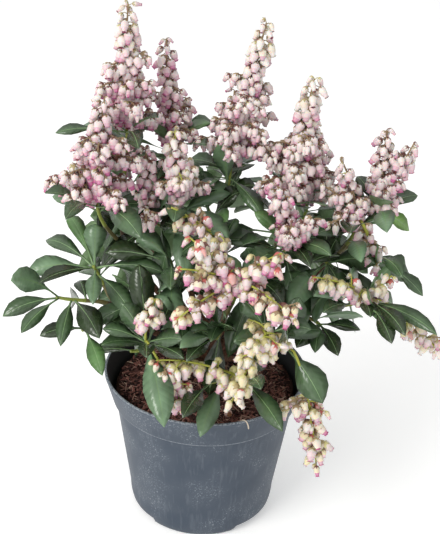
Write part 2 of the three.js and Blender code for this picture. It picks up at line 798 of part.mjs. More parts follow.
function foliage(name, mass, seed) {
  const node = `foliage_${name}`;
  mass.shoots.forEach((spec, s) => {
    const grow = (face, { tier, axis }, k) => {
      const low = tier.index / (MOST_LEAF_TIERS - 1);
      const length = spec.blade * THREE.MathUtils.lerp(LEAF_TIER.upperBlade, 1, low);
      const open = spec.open * THREE.MathUtils.lerp(LEAF_TIER.upperOpen, LEAF_TIER.lowerOpen, low);
      return growLeaf(node, spec.key, face, axis, {
        open: open * vary(0.07, seed + s, k + 20),
        length: length * vary(0.1, seed + s, 3 * tier.index + k),
      });
    };
    keep(node, solidFrom(twigFaces(shootRings(mass, spec), grow)));
  });
}

function twigs(name, mass) {
  const node = `foliage_${name}`;
  build(node, limb(massStem(mass), tapering(BOUGH.tipRadius, SHOOT.radius), SHOOT.stemSides, 1), "stem");
  mass.shoots.forEach((spec) => {
    const solid = solidFrom(twigFaces(shootRings(mass, spec)));
    clashes.push(...touched(node, solid).map((other) => `${node} ${spec.key} touches ${other.node}`));
    take(node, spec.key, solid);
  });
}

// ---------------------------------------------------------------- panicles

// The faces of one flower that grows out of a four-cornered face of its stem: a drop that hangs down.
function flowerFaces(root, belly, mouth) {
  return root.flatMap((corner, k) => {
    const next = (k + 1) % root.length;
    return [...quad([corner, root[next], belly[next], belly[k]]), [belly[k], belly[next], mouth]];
  });
}

function growFlower(node, part, face) {
  const outward = outwardOf(face);
  const way = unit(outward.clone().multiplyScalar(FLOWER.spread).addScaledVector(UP, -1));
  if (outward.z > FLOWER.steepest || way.dot(outward) < FLOWER.steepest * 0.75) return null;
  const centre = middleOf(face);
  const across = squareTo(way, face[0].clone().sub(centre));
  const belly = face.map((_, k) =>
    along(
      along(centre, way, FLOWER.length * FLOWER.bellyAt),
      across.clone().applyAxisAngle(way, (Math.PI / 2) * k),
      FLOWER.belly,
    ),
  );
  const mouth = along(centre, way, FLOWER.length);
  const neck = face.map((corner, k) => corner.clone().lerp(belly[k], FLOWER.neckAt));
  const faces = flowerFaces(face, belly, mouth);
  const free = closedBy(flowerFaces(neck, belly, mouth), neck);
  return takeIfRoom(node, part, closedBy(faces, face), free) ? faces : null;
}

// A raceme carries tiers of up to three flowers at even distances down from its tip.
function racemeTiers(curve) {
  const length = curve.getLength();
  const count = Math.max(1, Math.round((length - RACEME.bareStart) / RACEME.tierApart));
  return Array.from({ length: count }, (_, i) => ({
    top: length - (count - 1 - i) * RACEME.tierApart,
    height: RACEME.tierHeight,
    turn: RACEME.twist * i,
  }));
}

// The racemes of a panicle, each with its curve. The first leaves the shoot's tip, the other main ones spring
// from its foot, and the side racemes stand out from it, the lower ones longer.
function panicleRacemes(spec, seed) {
  const mass = MASSES[spec.mass];
  const stem = shootCurve(mass, mass.shoots.find(({ key }) => key === spec.key));
  const way = stem.getTangentAt(1);
  const mainCurve = (start, place) => {
    const tip = vector(place);
    const away = tip.clone().setZ(0).normalize();
    const middle = along(along(start.clone().lerp(tip, 0.5), UP, spec.arch), away, spec.arch / 2);
    const rise = Math.min(start.distanceTo(tip) * 0.3, RACEME.mostRise);
    return new THREE.CubicBezierCurve3(start, along(start, way, rise), middle, tip);
  };
  const first = mainCurve(along(stem.getPointAt(1), way, GAP), spec.tips[0]);
  const length = first.getLength();
  const at = (distance) => first.getPointAt(distance / length);
  const others = spec.tips.slice(1).map((place, k) => mainCurve(at(RACEME.fork * (k + 1)), place));
  const tiers = racemeTiers(first);
  const sides = Array.from({ length: spec.sides }, (_, i) => {
    const share = i / spec.sides;
    const above = tiers[Math.floor(i / 2)]; // two side racemes spring from each stretch below a tier
    const stretch = RACEME.tierApart - RACEME.tierHeight;
    const from = at(above.top - above.height - stretch * SIDE_RACEME.places[(i + 1) % 2]);
    const around = squareTo(first.getTangentAt(0.3), SIDEWAYS, spec.turn + GOLDEN_ANGLE * i);
    const reach = spec.reach * (1 - SIDE_RACEME.shortening * share) * vary(0.15, seed, i);
    const out = unit(around.addScaledVector(UP, SIDE_RACEME.rise));
    const middle = along(along(from, out, reach / 2), UP, reach * SIDE_RACEME.bow);
    return new THREE.QuadraticBezierCurve3(from, middle, along(from, out, reach));
  });
  return [
    { curve: first, taper: tapering, needed: true },
    ...others.map((curve) => ({ curve, taper: rooted, needed: true })),
    ...sides.map((curve) => ({ curve, taper: rooted, needed: false })),
  ];
}

// The stems take their space first, so that the flowers of one raceme keep clear of the others' stems.
function blossom(name, spec, seed) {
  const node = `panicle_${name}`;
  const stems = [];
  panicleRacemes(spec, seed).forEach(({ curve, taper, needed }, part) => {
    const extra = [RACEME.bareStart * 0.6];
    const rings = twigRings(curve, taper(RACEME.radius, RACEME.tipRadius), racemeTiers(curve), extra);
    const stem = solidFrom(twigFaces(rings));
    const others = touched(node, stem);
    if (others.length && !needed) return;
    clashes.push(...others.map((other) => `${node} touches ${other.node}`));
    take(node, part, stem);
    stems.push({ rings, part });
  });
  for (const { rings, part } of stems)
    keep(node, solidFrom(twigFaces(rings, (face) => growFlower(node, part, face))));
}

// ---------------------------------------------------------------- the whole plant

pot();
compost();
build("trunk", trunk);
for (const [name, mass] of Object.entries(MASSES)) build(`bough_${name}`, boughs.get(mass).solid);
for (const [name, mass] of Object.entries(MASSES)) twigs(name, mass);
Object.entries(PANICLES).forEach(([name, spec], i) => blossom(name, spec, i));
Object.entries(MASSES).forEach(([name, mass], i) => foliage(name, mass, 10 * i));
if (clashes.length) throw new Error(clashes.join("\n"));

const FINISHES = {
  pot: "pot",
  compost: "compost",
  trunk: "bark",
  bough: "bark",
  foliage: "foliage",
  panicle: "blossom",
};
for (const [node, solids] of nodes) {
  const finish = COLOURS[FINISHES[node.split("_")[0]]];
  const mesh = new THREE.Mesh(geometryOf(fuse(solids)), new THREE.MeshStandardMaterial(finish));
  mesh.name = node;
  plant.add(mesh);
}

export default plant;
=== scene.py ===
"""A flowering pieris shrub in its nursery pot, dressed around its construction model.

The frame gives the pot, the trunk, the boughs and the masses of foliage and blossom as plain solids.
This file replaces them with what they stand for: a moulded pot, bark compost, stems with bark relief,
and shoots, leaves, racemes and flowers that grow by the solids' own rule, carried to finer twigs.
Lengths are in metres, in the frame's own axes: +Z up and -Y the front.
"""

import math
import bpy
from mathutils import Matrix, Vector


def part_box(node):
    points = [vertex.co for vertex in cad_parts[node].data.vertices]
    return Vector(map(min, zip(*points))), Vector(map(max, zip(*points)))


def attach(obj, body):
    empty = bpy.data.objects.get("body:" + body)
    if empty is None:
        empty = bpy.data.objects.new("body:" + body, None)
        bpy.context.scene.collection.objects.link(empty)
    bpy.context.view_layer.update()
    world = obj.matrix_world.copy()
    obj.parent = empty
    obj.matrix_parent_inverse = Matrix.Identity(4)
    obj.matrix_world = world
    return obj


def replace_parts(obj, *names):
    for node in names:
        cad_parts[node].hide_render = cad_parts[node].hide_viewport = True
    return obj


bl_info = {
    "name": "Potted Pieris",
    "version": (1, 0, 0),
    "blender": (4, 5, 0),
    "location": "View3D > Sidebar > Pieris",
    "description": "Dresses the construction model of a flowering pieris shrub in its nursery pot",
    "category": "Add Mesh",
}

import bpy
import numpy as np
from mathutils import Matrix

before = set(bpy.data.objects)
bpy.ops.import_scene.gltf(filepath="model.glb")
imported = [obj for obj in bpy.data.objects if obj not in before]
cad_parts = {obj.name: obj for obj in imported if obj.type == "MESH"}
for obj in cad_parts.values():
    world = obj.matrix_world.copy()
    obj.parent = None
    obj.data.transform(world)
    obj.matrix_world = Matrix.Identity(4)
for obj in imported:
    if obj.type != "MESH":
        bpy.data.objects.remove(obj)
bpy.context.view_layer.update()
NODES = list(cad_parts)
MM = 0.001
UP = np.array([0.0, 0.0, 1.0])
SIDEWAYS = np.array([1.0, 0.0, 0.0])
GOLDEN_ANGLE = 137.508
FULL_TURN = 2 * math.pi
SHORT_TURN = 6.28  # radians, for waves whose two ends do not meet
WAVES = 9  # in each sum that makes relief


# ---------------------------------------------------------------- the plant's layout, in mm and degrees

MOST_LEAF_TIERS = 3
USUAL_SHOOT = dict(tiers=MOST_LEAF_TIERS, blade=50, open=76, turn=0, front=True, skip=())
USUAL_PANICLE = dict(arch=8, sides=0, reach=20, turn=0, pink=0.4, cream=0.0, red=1.0, top=0.0, young=0.0,
                     bare=(), sides_at=(), apart=1.0, green=())


def shoot(tip, aim, **own):
    """A shoot: the place of its tip, the way it points, its tiers of leaves, their length and how they stand,
    whether any of them but the placed ones may hang down to the front, and which are left out."""
    return {**USUAL_SHOOT, "tip": tip, "aim": aim, **own}


def mass(fork, start, **shoots):
    """A bough and what grows on it: where it divides, how high on the trunk it starts, and its shoots."""
    return dict(fork=fork, start=start, shoots=shoots)


def panicle(mass, key, tips, **own):
    """A panicle: the shoot it crowns, its racemes' tips, how they arch, its side racemes and its tones. The
    flowers of a young one are larger, hang in rows and have broad sepals; top is how green its end is, bare
    is how much of each raceme has no flowers, sides_at is where the side racemes are that keep to no rule,
    apart is how loosely the flowers hang, and green lists the racemes with a thick, green stalk."""
    return {**USUAL_PANICLE, "mass": mass, "key": key, "tips": tips, **own}


MASSES = {
    "left_upper": mass(
        [-60, 4, 226], 152,
        tall=shoot([-67, 5, 338], [-0.05, 0, 1], turn=25, front=False),
        front=shoot([-87, -25, 288], [-0.1, -0.1, 1], open=82, turn=20, skip=(5, 6, 7)),
    ),
    "left_low": mass(
        [-66, -18, 190], 138,
        rosette=shoot(
            [-89, -34, 239], [-0.25, -0.6, 0.75], blade=56, turn=5, front=False, skip=(0, 1, 2, 3, 5),
        ),
        outer=shoot(
            [-118, -38, 213], [-0.85, -0.3, 0.4], blade=52, open=70, turn=20, front=False,
            skip=(0, 1, 2, 3, 4, 5),
        ),
        under=shoot([-96, -52, 192], [-0.5, -0.7, -0.1], tiers=1, open=56, turn=40, front=False, skip=(0,)),
    ),
    "left_centre": mass(
        [-24, 17, 236], 162,
        back=shoot([-36, 37, 318], [-0.05, 0.1, 1], tiers=2, turn=50),
        front=shoot([-25, -10, 285], [0, -0.15, 1]),
        left=shoot([-46, 0, 268], [-0.2, -0.2, 1], tiers=2, turn=30),
    ),
    "centre_left": mass(
        [-22, -14, 198], 147,
        upper=shoot([-30, -28, 244], [-0.2, -0.45, 0.85], turn=10),
        lower=shoot([-54, -36, 212], [-0.6, -0.6, 0.5], open=70, turn=20, skip=(4,)),
    ),
    "centre_back": mass(
        [10, 27, 240], 164,
        tall=shoot([14, 25, 307], [0.1, 0, 1], open=80, turn=48),
        low=shoot([-3, 8, 268], [-0.2, -0.3, 1], tiers=2, turn=20),
    ),
    "centre_right": mass(
        [40, 0, 216], 159,
        tall=shoot([61, 20, 281], [0.1, 0.05, 1], turn=30),
        front=shoot([60, -22, 262], [0.05, -0.3, 1], open=84, turn=10),
        low=shoot([36, -36, 236], [-0.15, -0.6, 0.8], tiers=2, turn=50),
    ),
    "right_upper": mass(
        [90, 12, 222], 147,
        outer=shoot([131, 10, 279], [0.1, 0, 1], blade=52, turn=15, front=False, skip=(5,)),
        inner=shoot([113, -4, 270], [0, -0.15, 1], tiers=2, front=False),
        side=shoot([132, -8, 246], [0.8, -0.3, 0.5], tiers=2, open=62, turn=10, front=False, skip=(0, 1)),
        low=shoot([92, -10, 240], [-0.1, -0.5, 0.8], turn=30),
    ),
    "right_low": mass(
        [70, -18, 188], 138,
        whorl=shoot([123, -36, 222], [0.6, -0.4, 0.6], front=False, skip=(4,)),
        under=shoot([90, -32, 194], [0.3, -0.5, -0.2], tiers=2, open=54, turn=30, front=False),
    ),
    "front_left": mass(
        [-32, -38, 168], 133,
        rim=shoot([-45, -72, 197], [-0.1, -0.6, 0.8], blade=54, open=84, turn=52, front=False),
        side=shoot(
            [-59, -48, 173], [-0.8, -0.4, 0.25], tiers=0, open=60, turn=40, front=False, skip=(0, 1),
        ),
    ),
    "front_centre": mass(
        [12, -34, 192], 149,
        spray=shoot([22, -66, 243], [0, -0.5, 0.85], tiers=2, blade=46, open=84, turn=30, front=False),
        high=shoot([8, -28, 258], [0, -0.2, 1], tiers=2, blade=46, turn=20),
        low=shoot([8, -62, 196], [-0.2, -0.8, 0.4], open=70, turn=50, front=False),
    ),
    "front_right": mass(
        [36, -48, 174], 137,
        left=shoot([46, -80, 214], [0, -0.5, 0.8], tiers=2, open=82, turn=35, front=False),
        right=shoot([63, -78, 200], [0.5, -0.6, 0.5], tiers=2, blade=58, open=70, front=False),
    ),
    "front_low": mass(
        [14, -42, 146], 127,
        left=shoot([4, -66, 158], [-0.4, -0.8, 0.3], tiers=2, blade=44, open=62, turn=20, front=False),
        right=shoot([30, -70, 166], [0.4, -0.8, 0.4], tiers=2, blade=46, open=66, front=False),
    ),
    "back_left": mass(
        [-42, 52, 200], 146,
        tall=shoot([-76, 66, 272], [-0.2, 0.2, 1], turn=20),
        low=shoot([-78, 92, 222], [-0.5, 0.6, 0.5], turn=10),
    ),
    "back": mass(
        [6, 66, 214], 154,
        tall=shoot([12, 84, 284], [0, 0.2, 1]),
        low=shoot([-8, 122, 236], [-0.1, 0.8, 0.5], turn=20),
    ),
    "back_right": mass(
        [54, 50, 198], 140,
        tall=shoot([80, 62, 260], [0.1, 0.2, 1], turn=30),
        low=shoot([92, 92, 216], [0.6, 0.6, 0.45]),
        side=shoot([118, 46, 222], [0.8, 0.3, 0.4], open=70, turn=20),
    ),
}


PANICLES = {
    "left_tall": panicle(
        "left_upper", "tall", [[-66, 5, 432]], arch=4, sides=6, reach=33, turn=20, pink=0.45, top=0.8,
    ),
    "left_front": panicle(
        "left_upper", "front", [[-80, -25, 371]], arch=4, sides=7, reach=36, turn=170, pink=0.5, top=0.3,
    ),
    "left_back": panicle(
        "left_centre", "back", [[-40, 36, 400]], arch=3, sides=4, reach=29, turn=330, pink=0.58,
    ),
    "left_inner": panicle(
        "left_centre", "front", [[-29, -15, 345]], arch=3, sides=4, reach=24, turn=10, pink=0.35, cream=0.1,
        red=0.9, top=0.4,
    ),
    "left_small": panicle("left_centre", "left", [[-51, -8, 328], [-48, -42, 283]], pink=0.45),
    "centre_tall": panicle(
        "centre_back", "tall", [[35, 25, 418]], arch=-6, sides=7, reach=34, turn=195, pink=0.35, top=0.7,
    ),
    "right_tall": panicle(
        "centre_right", "tall", [[73, 15, 380]], arch=-3, sides=7, reach=33, turn=215, pink=0.35, top=0.7,
    ),
    "right_front": panicle(
        "centre_right", "front", [[46, -34, 316], [76, -52, 294], [57, -58, 283]], pink=0.5, red=0.95,
    ),
    "right_slender": panicle(
        "right_upper", "inner", [[84, -6, 303], [97, 2, 322], [92, -18, 277], [130, -24, 243]], pink=0.3,
        cream=0.1, red=0.8, apart=1.45, green=(3,),
    ),
    "right_outer": panicle(
        "right_upper", "outer", [[131, 10, 344], [152, 5, 336]], arch=4, sides=3, turn=160, pink=0.35,
        bare=(12, 5), apart=1.1,
    ),
    "centre_arching": panicle(
        "front_centre", "high", [[-30, -36, 292]], arch=10, sides=1, turn=240, pink=0.25, cream=0.35,
        red=0.4, young=1.0,
    ),
    "centre_spray": panicle(
        "front_centre", "spray",
        [[-14, -80, 288], [-20, -90, 268], [-21, -100, 232], [52, -84, 281], [61, -105, 241]], pink=0.5,
        cream=0.55, red=0.7, young=0.85,
    ),
    "front_cascade": panicle(
        "front_right", "left", [[21, -106, 168]], arch=14, sides=3, turn=190, pink=0.14, cream=0.8,
        red=0.12, young=1.0, apart=0.85,
    ),
    "front_drooping": panicle(
        "front_right", "right", [[89, -97, 109]], arch=14, sides=2, turn=150, pink=0.35, cream=0.7,
        red=0.55, young=0.8, bare=(46,), sides_at=(50, 56),
    ),
    "rim_spray": panicle(
        "front_left", "rim", [[-38, -77, 236], [-16, -96, 158]], pink=0.45, cream=0.8, red=0.5, young=0.6,
        bare=(19, 27), apart=0.7,
    ),
    "rim_arching": panicle(
        "front_low", "right", [[-36, -88, 190]], arch=17, pink=0.25, cream=0.6, red=0.12, young=1.0,
        bare=(11,), apart=1.2,
    ),
    "right_low": panicle(
        "right_low", "whorl", [[78, -56, 249], [139, -42, 246], [178, -60, 193]], pink=0.3, cream=0.45,
        red=0.35, young=0.7, bare=(6, 6, 34),
    ),
    "back_left": panicle(
        "back_left", "tall", [[-86, 78, 358]], arch=4, sides=6, reach=30, turn=60, pink=0.45,
    ),
    "back_left_low": panicle("back_left", "low", [[-106, 118, 250]], sides=2, turn=60, pink=0.45),
    "back_tall": panicle("back", "tall", [[14, 92, 345]], arch=4, sides=6, reach=28, turn=100, pink=0.5),
    "back_right": panicle("back_right", "tall", [[80, 68, 318]], arch=4, sides=6, reach=28, turn=300),
    "back_low": panicle("back_right", "low", [[118, 118, 238]], sides=2, turn=20, cream=0.1, red=0.6),
}


# Each row: the tip's x, y and z, how far below its shoot's end the leaf springs, its width, its stalk's
# share of its length, how far it is rolled about its midrib, and its shade. The shade is partly painted
# light and shade: light and lit for blades in the light, dark for many blades in shade.
PLACED_LEAVES = {
    ("left_low", "rosette"): [
        (-89, -19, 268, 3, 18, 0.1, 3, "light"), (-133, 9, 239, 3, 14, 0.18, -41, "mid"),
        (-138, -43, 236, 3, 17, 0.23, -52, "light"), (-124, -74, 243, 3, 13, 0.1, -21, "dark"),
        (-34, -31, 234, 3, 14, 0.18, 52, "mid"), (-55, -68, 215, 12, 16, 0.1, 29, "mid"),
        (-84, -77, 229, 5, 13, 0.1, -3, "light"), (-63, 1, 176, 15, 13, 0.19, 84, "dark"),
        (-115, 14, 259, 3, 13, 0.14, -19, "young"),
    ],
    ("left_low", "outer"): [
        (-145, -71, 243, 3, 20, 0.22, -69, "light"), (-157, -53, 202, 3, 14, 0.17, -49, "mid"),
        (-137, -82, 205, 3, 13, 0.21, -18, "mid"), (-109, -77, 192, 13, 13, 0.1, -12, "mid"),
        (-80, -73, 198, 15, 20, 0.1, 23, "dark"), (-105, -1, 209, 25, 13, 0.1, -5, "dark"),
    ],
    ("left_low", "under"): [
        (-128, -58, 189, 3, 13, 0.14, -45, "dark"), (-75, -98, 181, 3, 14, 0.18, 14, "young"),
    ],
    ("left_upper", "front"): [
        (-100, -91, 303, 3, 13, 0.35, -24, "mid"), (-84, 9, 242, 3, 19, 0.1, 131, "dark"),
        (-48, -82, 286, 3, 19, 0.19, 38, "mid"),
    ],
    ("left_upper", "tall"): [
        (-120, -4, 335, 3, 13, 0.45, -28, "mid"), (-53, -52, 343, 3, 14, 0.25, 27, "dark"),
    ],
    ("left_centre", "back"): [(-2, 79, 321, 3, 13, 0.27, 38, "mid")],
    ("centre_back", "tall"): [
        (5, 10, 329, 22, 18, 0.1, -150, "light"), (22, 40, 297, 30, 16, 0.15, -12, "mid"),
        (-22, -14, 288, 27, 13, 0.22, -32, "dark"), (34, 29, 286, 27, 13, 0.1, 40, "dark"),
    ],
    ("centre_right", "tall"): [
        (11, 9, 250, 30, 13, 0.42, -32, "mid"), (11, 8, 248, 35, 13, 0.4, -23, "dark"),
        (28, -60, 246, 40, 16, 0.25, -26, "light"), (54, -37, 262, 25, 13, 0.15, 2, "light"),
    ],
    ("front_centre", "high"): [(23, -71, 252, 3, 13, 0.1, 12, "young")],
    ("right_upper", "low"): [(61, -65, 226, 2, 20, 0.27, -25, "light")],
    ("centre_left", "upper"): [
        (-27, -77, 244, 5, 15, 0.18, -2, "mid"), (-80, -30, 249, 3, 17, 0.27, -53, "dark"),
        (-44, 36, 203, 38, 14, 0.23, -27, "dark"), (-17, 42, 190, 40, 13, 0.28, 27, "dark"),
    ],
    ("centre_left", "lower"): [
        (-32, -77, 217, 38, 20, 0.2, -22, "dark"), (-17, -75, 197, 38, 13, 0.3, 5, "mid"),
        (-20, 32, 197, 38, 13, 0.1, 15, "dark"),
    ],
    ("front_centre", "low"): [
        (4, -86, 207, 25, 13, 0.14, -15, "mid"), (14, -89, 230, 25, 13, 0.34, 111, "light"),
        (-18, -102, 210, 2, 13, 0.16, -35, "light"), (-13, 2, 171, 2, 13, 0.45, -47, "dark"),
        (14, -3, 170, 2, 13, 0.32, 27, "dark"), (4, -76, 238, 8, 16, 0.1, -129, "mid"),
        (-13, -104, 200, 2, 13, 0.19, -25, "dark"), (20, -6, 183, 2, 14, 0.18, 25, "mid"),
    ],
    ("front_left", "rim"): [
        (-53, -45, 248, 3, 20, 0.1, -9, "dark"), (-27, -126, 157, 5, 23, 0.1, 10, "light"),
        (-78, -69, 204, 3, 13, 0.19, -29, "mid"), (-62, -39, 197, 3, 13, 0.1, -18, "mid"),
        (-42, -104, 202, 3, 13, 0.1, 1, "dark"), (-15, -97, 198, 8, 13, 0.1, 36, "dark"),
    ],
    ("centre_right", "front"): [
        (89, -66, 272, 3, 13, 0.21, 44, "mid"), (75, -62, 260, 3, 13, 0.1, 25, "dark"),
    ],
    ("right_upper", "inner"): [(113, -54, 262, 18, 15, 0.18, 26, "light")],
    ("right_upper", "side"): [
        (78, -31, 249, 25, 13, 0.1, -39, "dark"), (154, -13, 242, 3, 13, 0.45, 31, "mid"),
        (144, -59, 253, 3, 13, 0.3, 28, "mid"), (168, -27, 222, 3, 13, 0.42, 32, "mid"),
    ],
    ("right_upper", "outer"): [
        (109, 18, 290, 3, 13, 0.45, -23, "mid"), (129, -56, 288, 3, 17, 0.26, 24, "light"),
        (164, 41, 247, 3, 13, 0.1, 80, "lit"),
    ],
    ("right_low", "whorl"): [
        (170, -84, 220, 3, 13, 0.13, 34, "mid"), (134, -73, 220, 3, 13, 0.1, 20, "mid"),
        (144, -98, 226, 3, 13, 0.31, 32, "dark"), (134, -103, 222, 3, 13, 0.45, 12, "dark"),
        (123, -65, 222, 3, 13, 0.1, 8, "dark"), (79, -62, 236, 8, 13, 0.1, -59, "light"),
        (87, -65, 224, 15, 13, 0.1, -34, "mid"),
    ],
    ("right_low", "under"): [
        (121, -36, 194, 2, 13, 0.1, 21, "dark"), (69, -69, 195, 2, 16, 0.1, -27, "dark"),
        (101, -70, 190, 2, 14, 0.1, 26, "dark"), (83, -72, 193, 2, 13, 0.1, -1, "mid"),
    ],
    ("front_right", "right"): [(89, -101, 167, 3, 24, 0.19, 43, "mid")],
    ("front_low", "left"): [
        (-1, -104, 134, 22, 17, 0.2, -14, "light"), (-14, -120, 162, 2, 16, 0.26, -25, "dark"),
    ],
    ("front_low", "right"): [
        (59, -125, 157, 2, 16, 0.14, 28, "mid"), (41, -130, 196, 2, 13, 0.41, 31, "mid"),
    ],
    ("front_left", "side"): [
        (-79, -75, 193, 20, 13, 0.1, -38, "mid"), (-91, -35, 162, 3, 13, 0.1, -28, "dark"),
    ],
}


# ---------------------------------------------------------------- sizes and colours that a user would change

def length(name, description, default_mm):
    return bpy.props.FloatProperty(
        name=name, description=description, default=default_mm * MM, unit="LENGTH", precision=4)


def share(name, description, default):
    return bpy.props.FloatProperty(name=name, description=description, default=default, subtype="FACTOR")


def number(name, description, default):
    return bpy.props.IntProperty(name=name, description=description, default=default, min=1)


def power(name, description, default):
    return bpy.props.FloatProperty(name=name, description=description, default=default, unit="POWER")


def linear(hex_code):
    """A colour given as sRGB hex, as the linear RGBA that shaders and lights take."""
    parts = [int(hex_code[i:i + 2], 16) / 255 for i in (1, 3, 5)]
    return [c / 12.92 if c <= 0.04045 else ((c + 0.055) / 1.055) ** 2.4 for c in parts] + [1.0]


def colour(name, description, hex_code):
    return bpy.props.FloatVectorProperty(
        name=name, description=description, default=linear(hex_code), size=4, subtype="COLOR", min=0, max=1)


class PotSettings(bpy.types.PropertyGroup):
    height: length("Height", "From the underside to the rim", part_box("pot")[1].z / MM)
    rim_radius: length("Rim radius", "Outside radius of the rim", 85)
    collar_height: length("Collar height", "The flared band below the rim", 25)
    collar_radius: length("Collar foot", "Outside radius at the foot of the collar", 78.2)
    body_radius: length("Body top", "Outside radius just below the collar", 75.4)
    low_radius: length("Body foot", "Outside radius where the rounded edge begins", 62.9)
    low_height: length("Edge height", "Height of the rounded lower edge", 20)
    foot_radius: length("Foot radius", "Radius of the underside", 56.4)
    wall: length("Wall", "Thickness of the plastic", 1.6)
    notch_height: length("Notch height", "Height of the gaps between the feet", 6.5)
    plastic: colour("Plastic", "The moulded plastic", "#434c58")
    # This pale colour also paints a highlight along the rim and the collar's shoulder.
    scuff_and_highlight: colour("Scuffs", "Dust and scratches on the plastic", "#aab1b8")


class CompostSettings(bpy.types.PropertyGroup):
    top: length("Surface", "Height of the compost above the ground", 115)
    relief: length("Relief", "How uneven the surface is", 2.6)
    chips: number("Chips", "Loose pieces of bark on the surface", 2600)
    fibres: number("Fibres", "Loose fibres on the surface", 1200)
    earth: colour("Compost", "Moist composted bark", "#2b1d1a")


class BarkSettings(bpy.types.PropertyGroup):
    trunk_foot: length("Trunk foot", "Radius of the trunk above its flare", 9)
    trunk_top: length("Trunk top", "Radius of the trunk where it divides", 6)
    flare: length("Flare", "What the root flare adds at the ground", 4.5)
    bough_foot: length("Bough foot", "Radius of a bough at the trunk", 3.1)
    bough_tip: length("Bough tip", "Radius of a bough where it divides", 2.1)
    fissures: share("Fissures", "Depth of the bark's fissures, as a share of the radius", 0.11)
    ridge: colour("Ridges", "The bark's dry ridges", "#7c6552")
    # The crack colour is partly the fissures' own colour and partly painted shade.
    crack: colour("Cracks", "The bark's shaded cracks", "#3c2c24")


class LeafSettings(bpy.types.PropertyGroup):
    slimness: share("Slimness", "A leaf's width as a share of its length", 0.39)
    sag: share("Sag", "How far a leaf bends down, as a share of its length", 0.16)
    thickness: length("Thickness", "Of the blade at its midrib", 0.5)
    stalk: length("Stalk", "Width of the leaf's stalk", 1.7)
    # Light and lit are painted light: a blade turned to the light and one lit from behind. Dark is partly an
    # older leaf's tone and partly painted shade on placed leaves deep in the bush.
    dark: colour("Old leaf", "Leathery leaf in its second year", "#324228")
    mid: colour("Leaf", "Leathery leaf", "#47603f")
    light: colour("Light leaf", "Leathery leaf that is turned to the light", "#6b8866")
    young: colour("Young leaf", "Soft leaf near the middle of a whorl", "#567a45")
    lit: colour("Lit leaf", "Thin leaf with the light behind it", "#5f8f23")
    back: colour("Underside", "Matt underside of a leaf", "#627f52")
    rib: colour("Midrib", "Midrib and stalk", "#71905f")


class BlossomSettings(bpy.types.PropertyGroup):
    flower: length("Flower", "Length of one flower", 8.4)
    girth: length("Girth", "Widest radius of one flower", 3.45)
    spacing: length("Spacing", "Between one flower and the next along a raceme", 1.95)
    pedicel: length("Pedicel", "How far a flower hangs out from its raceme", 4.2)
    white: colour("White", "The flower's shoulder", "#e5dcd6")
    pink: colour("Pink", "The flower's mouth", "#c06795")
    cream: colour("Cream", "A young flower's shoulder", "#ddd2ae")
    coral: colour("Bud", "A bud at the tip of a raceme", "#c4675f")
    red: colour("Sepals", "Sepals and pedicels in the sun", "#7a5148")
    stalk: colour("Raceme stalk", "The stalk of a young raceme", "#a9ad45")
    green: colour("Green sepals", "Sepals and pedicels in the shade", "#d4cd90")


class StageSettings(bpy.types.PropertyGroup):
    floor: colour("Floor", "The studio floor", "#f6f6f5")
    key_power: power("Key light", "Power of the large light on the left", 31)
    fill_power: power("Fill light", "Power of the light on the right", 2.0)
    sky: share("Sky", "Strength of the light from the left", 0.82)
    far_sky: share("Far sky", "Strength of the light from the right", 0.6)
    glow: share("Glow", "How much light the floor itself gives, as a lit table does", 0.3)


# ---------------------------------------------------------------- numbers and shapes

def unit(v):
    return v / np.maximum(np.linalg.norm(v, axis=-1, keepdims=True), 1e-12)


def dot(a, b):
    return np.sum(a * b, axis=-1, keepdims=True)


def chance(seed, index):
    """A number from 0 to 1 that depends only on its two arguments."""
    x = np.sin(seed * 12.9898 + index * 78.233) * 43758.5453
    return x - np.floor(x)


def vary(most, seed, index):
    """A factor near 1, up to most more or less."""
    return 1 + most * (2 * chance(seed, index) - 1)


def square_to(axis, near, degrees=0.0):
    """The part of near that isn't along axis, at unit length, turned about axis."""
    axis = np.broadcast_to(axis, np.broadcast_shapes(np.shape(axis), np.shape(near)))
    side = unit(near - axis * dot(near, axis))
    angle = np.radians(np.asarray(degrees, float))[..., None]
    return side * np.cos(angle) + np.cross(axis, side) * np.sin(angle)


def ripple(seed, along, around, low, high):
    """Smooth relief, mostly between -1 and 1: waves of random phase, a whole number of them around."""
    draw = np.random.default_rng(seed)
    total = 0.0
    for _ in range(WAVES):
        across, up = draw.integers(low, high), draw.uniform(-high, high) * 0.35
        total = total + np.sin(across * around + up * along + draw.uniform(0, FULL_TURN))
    return total / math.sqrt(2 * WAVES)


class Curve:
    """A Bezier curve of any order, kept as close points and read by the distance along it."""

    def __init__(self, corners, steps=120):
        corners = np.asarray(corners, float)
        t = np.linspace(0, 1, steps + 1)[:, None]
        order = len(corners) - 1
        weights = [math.comb(order, k) * t ** k * (1 - t) ** (order - k) for k in range(order + 1)]
        self.points = sum(w * corner for w, corner in zip(weights, corners))
        gaps = np.linalg.norm(np.diff(self.points, axis=0), axis=1)
        self.marks = np.concatenate([[0.0], np.cumsum(gaps)])
        self.ways = unit(np.gradient(self.points, self.marks, axis=0))
        self.length = self.marks[-1]

    def read(self, table, distance):
        return np.stack([np.interp(distance, self.marks, table[:, k]) for k in range(3)], axis=-1)

    def at(self, distance):
        return self.read(self.points, distance)

    def way(self, distance):
        return unit(self.read(self.ways, distance))

    def across(self):
        """The normal of the curve's bend, or a level side where it is straight."""
        bend = np.cross(self.ways[0], self.ways[-1])
        return unit(bend) if np.linalg.norm(bend) > 0.05 else square_to(self.ways[0], SIDEWAYS)


def lattice(rows, columns):
    """The four-cornered faces between the rows of a grid of points, closed around."""
    row, column = np.meshgrid(np.arange(rows - 1), np.arange(columns), indexing="ij")
    right = (column + 1) % columns
    here, ahead = row * columns, (row + 1) * columns
    return np.stack([here + column, here + right, ahead + right, ahead + column], axis=-1).reshape(-1, 4)


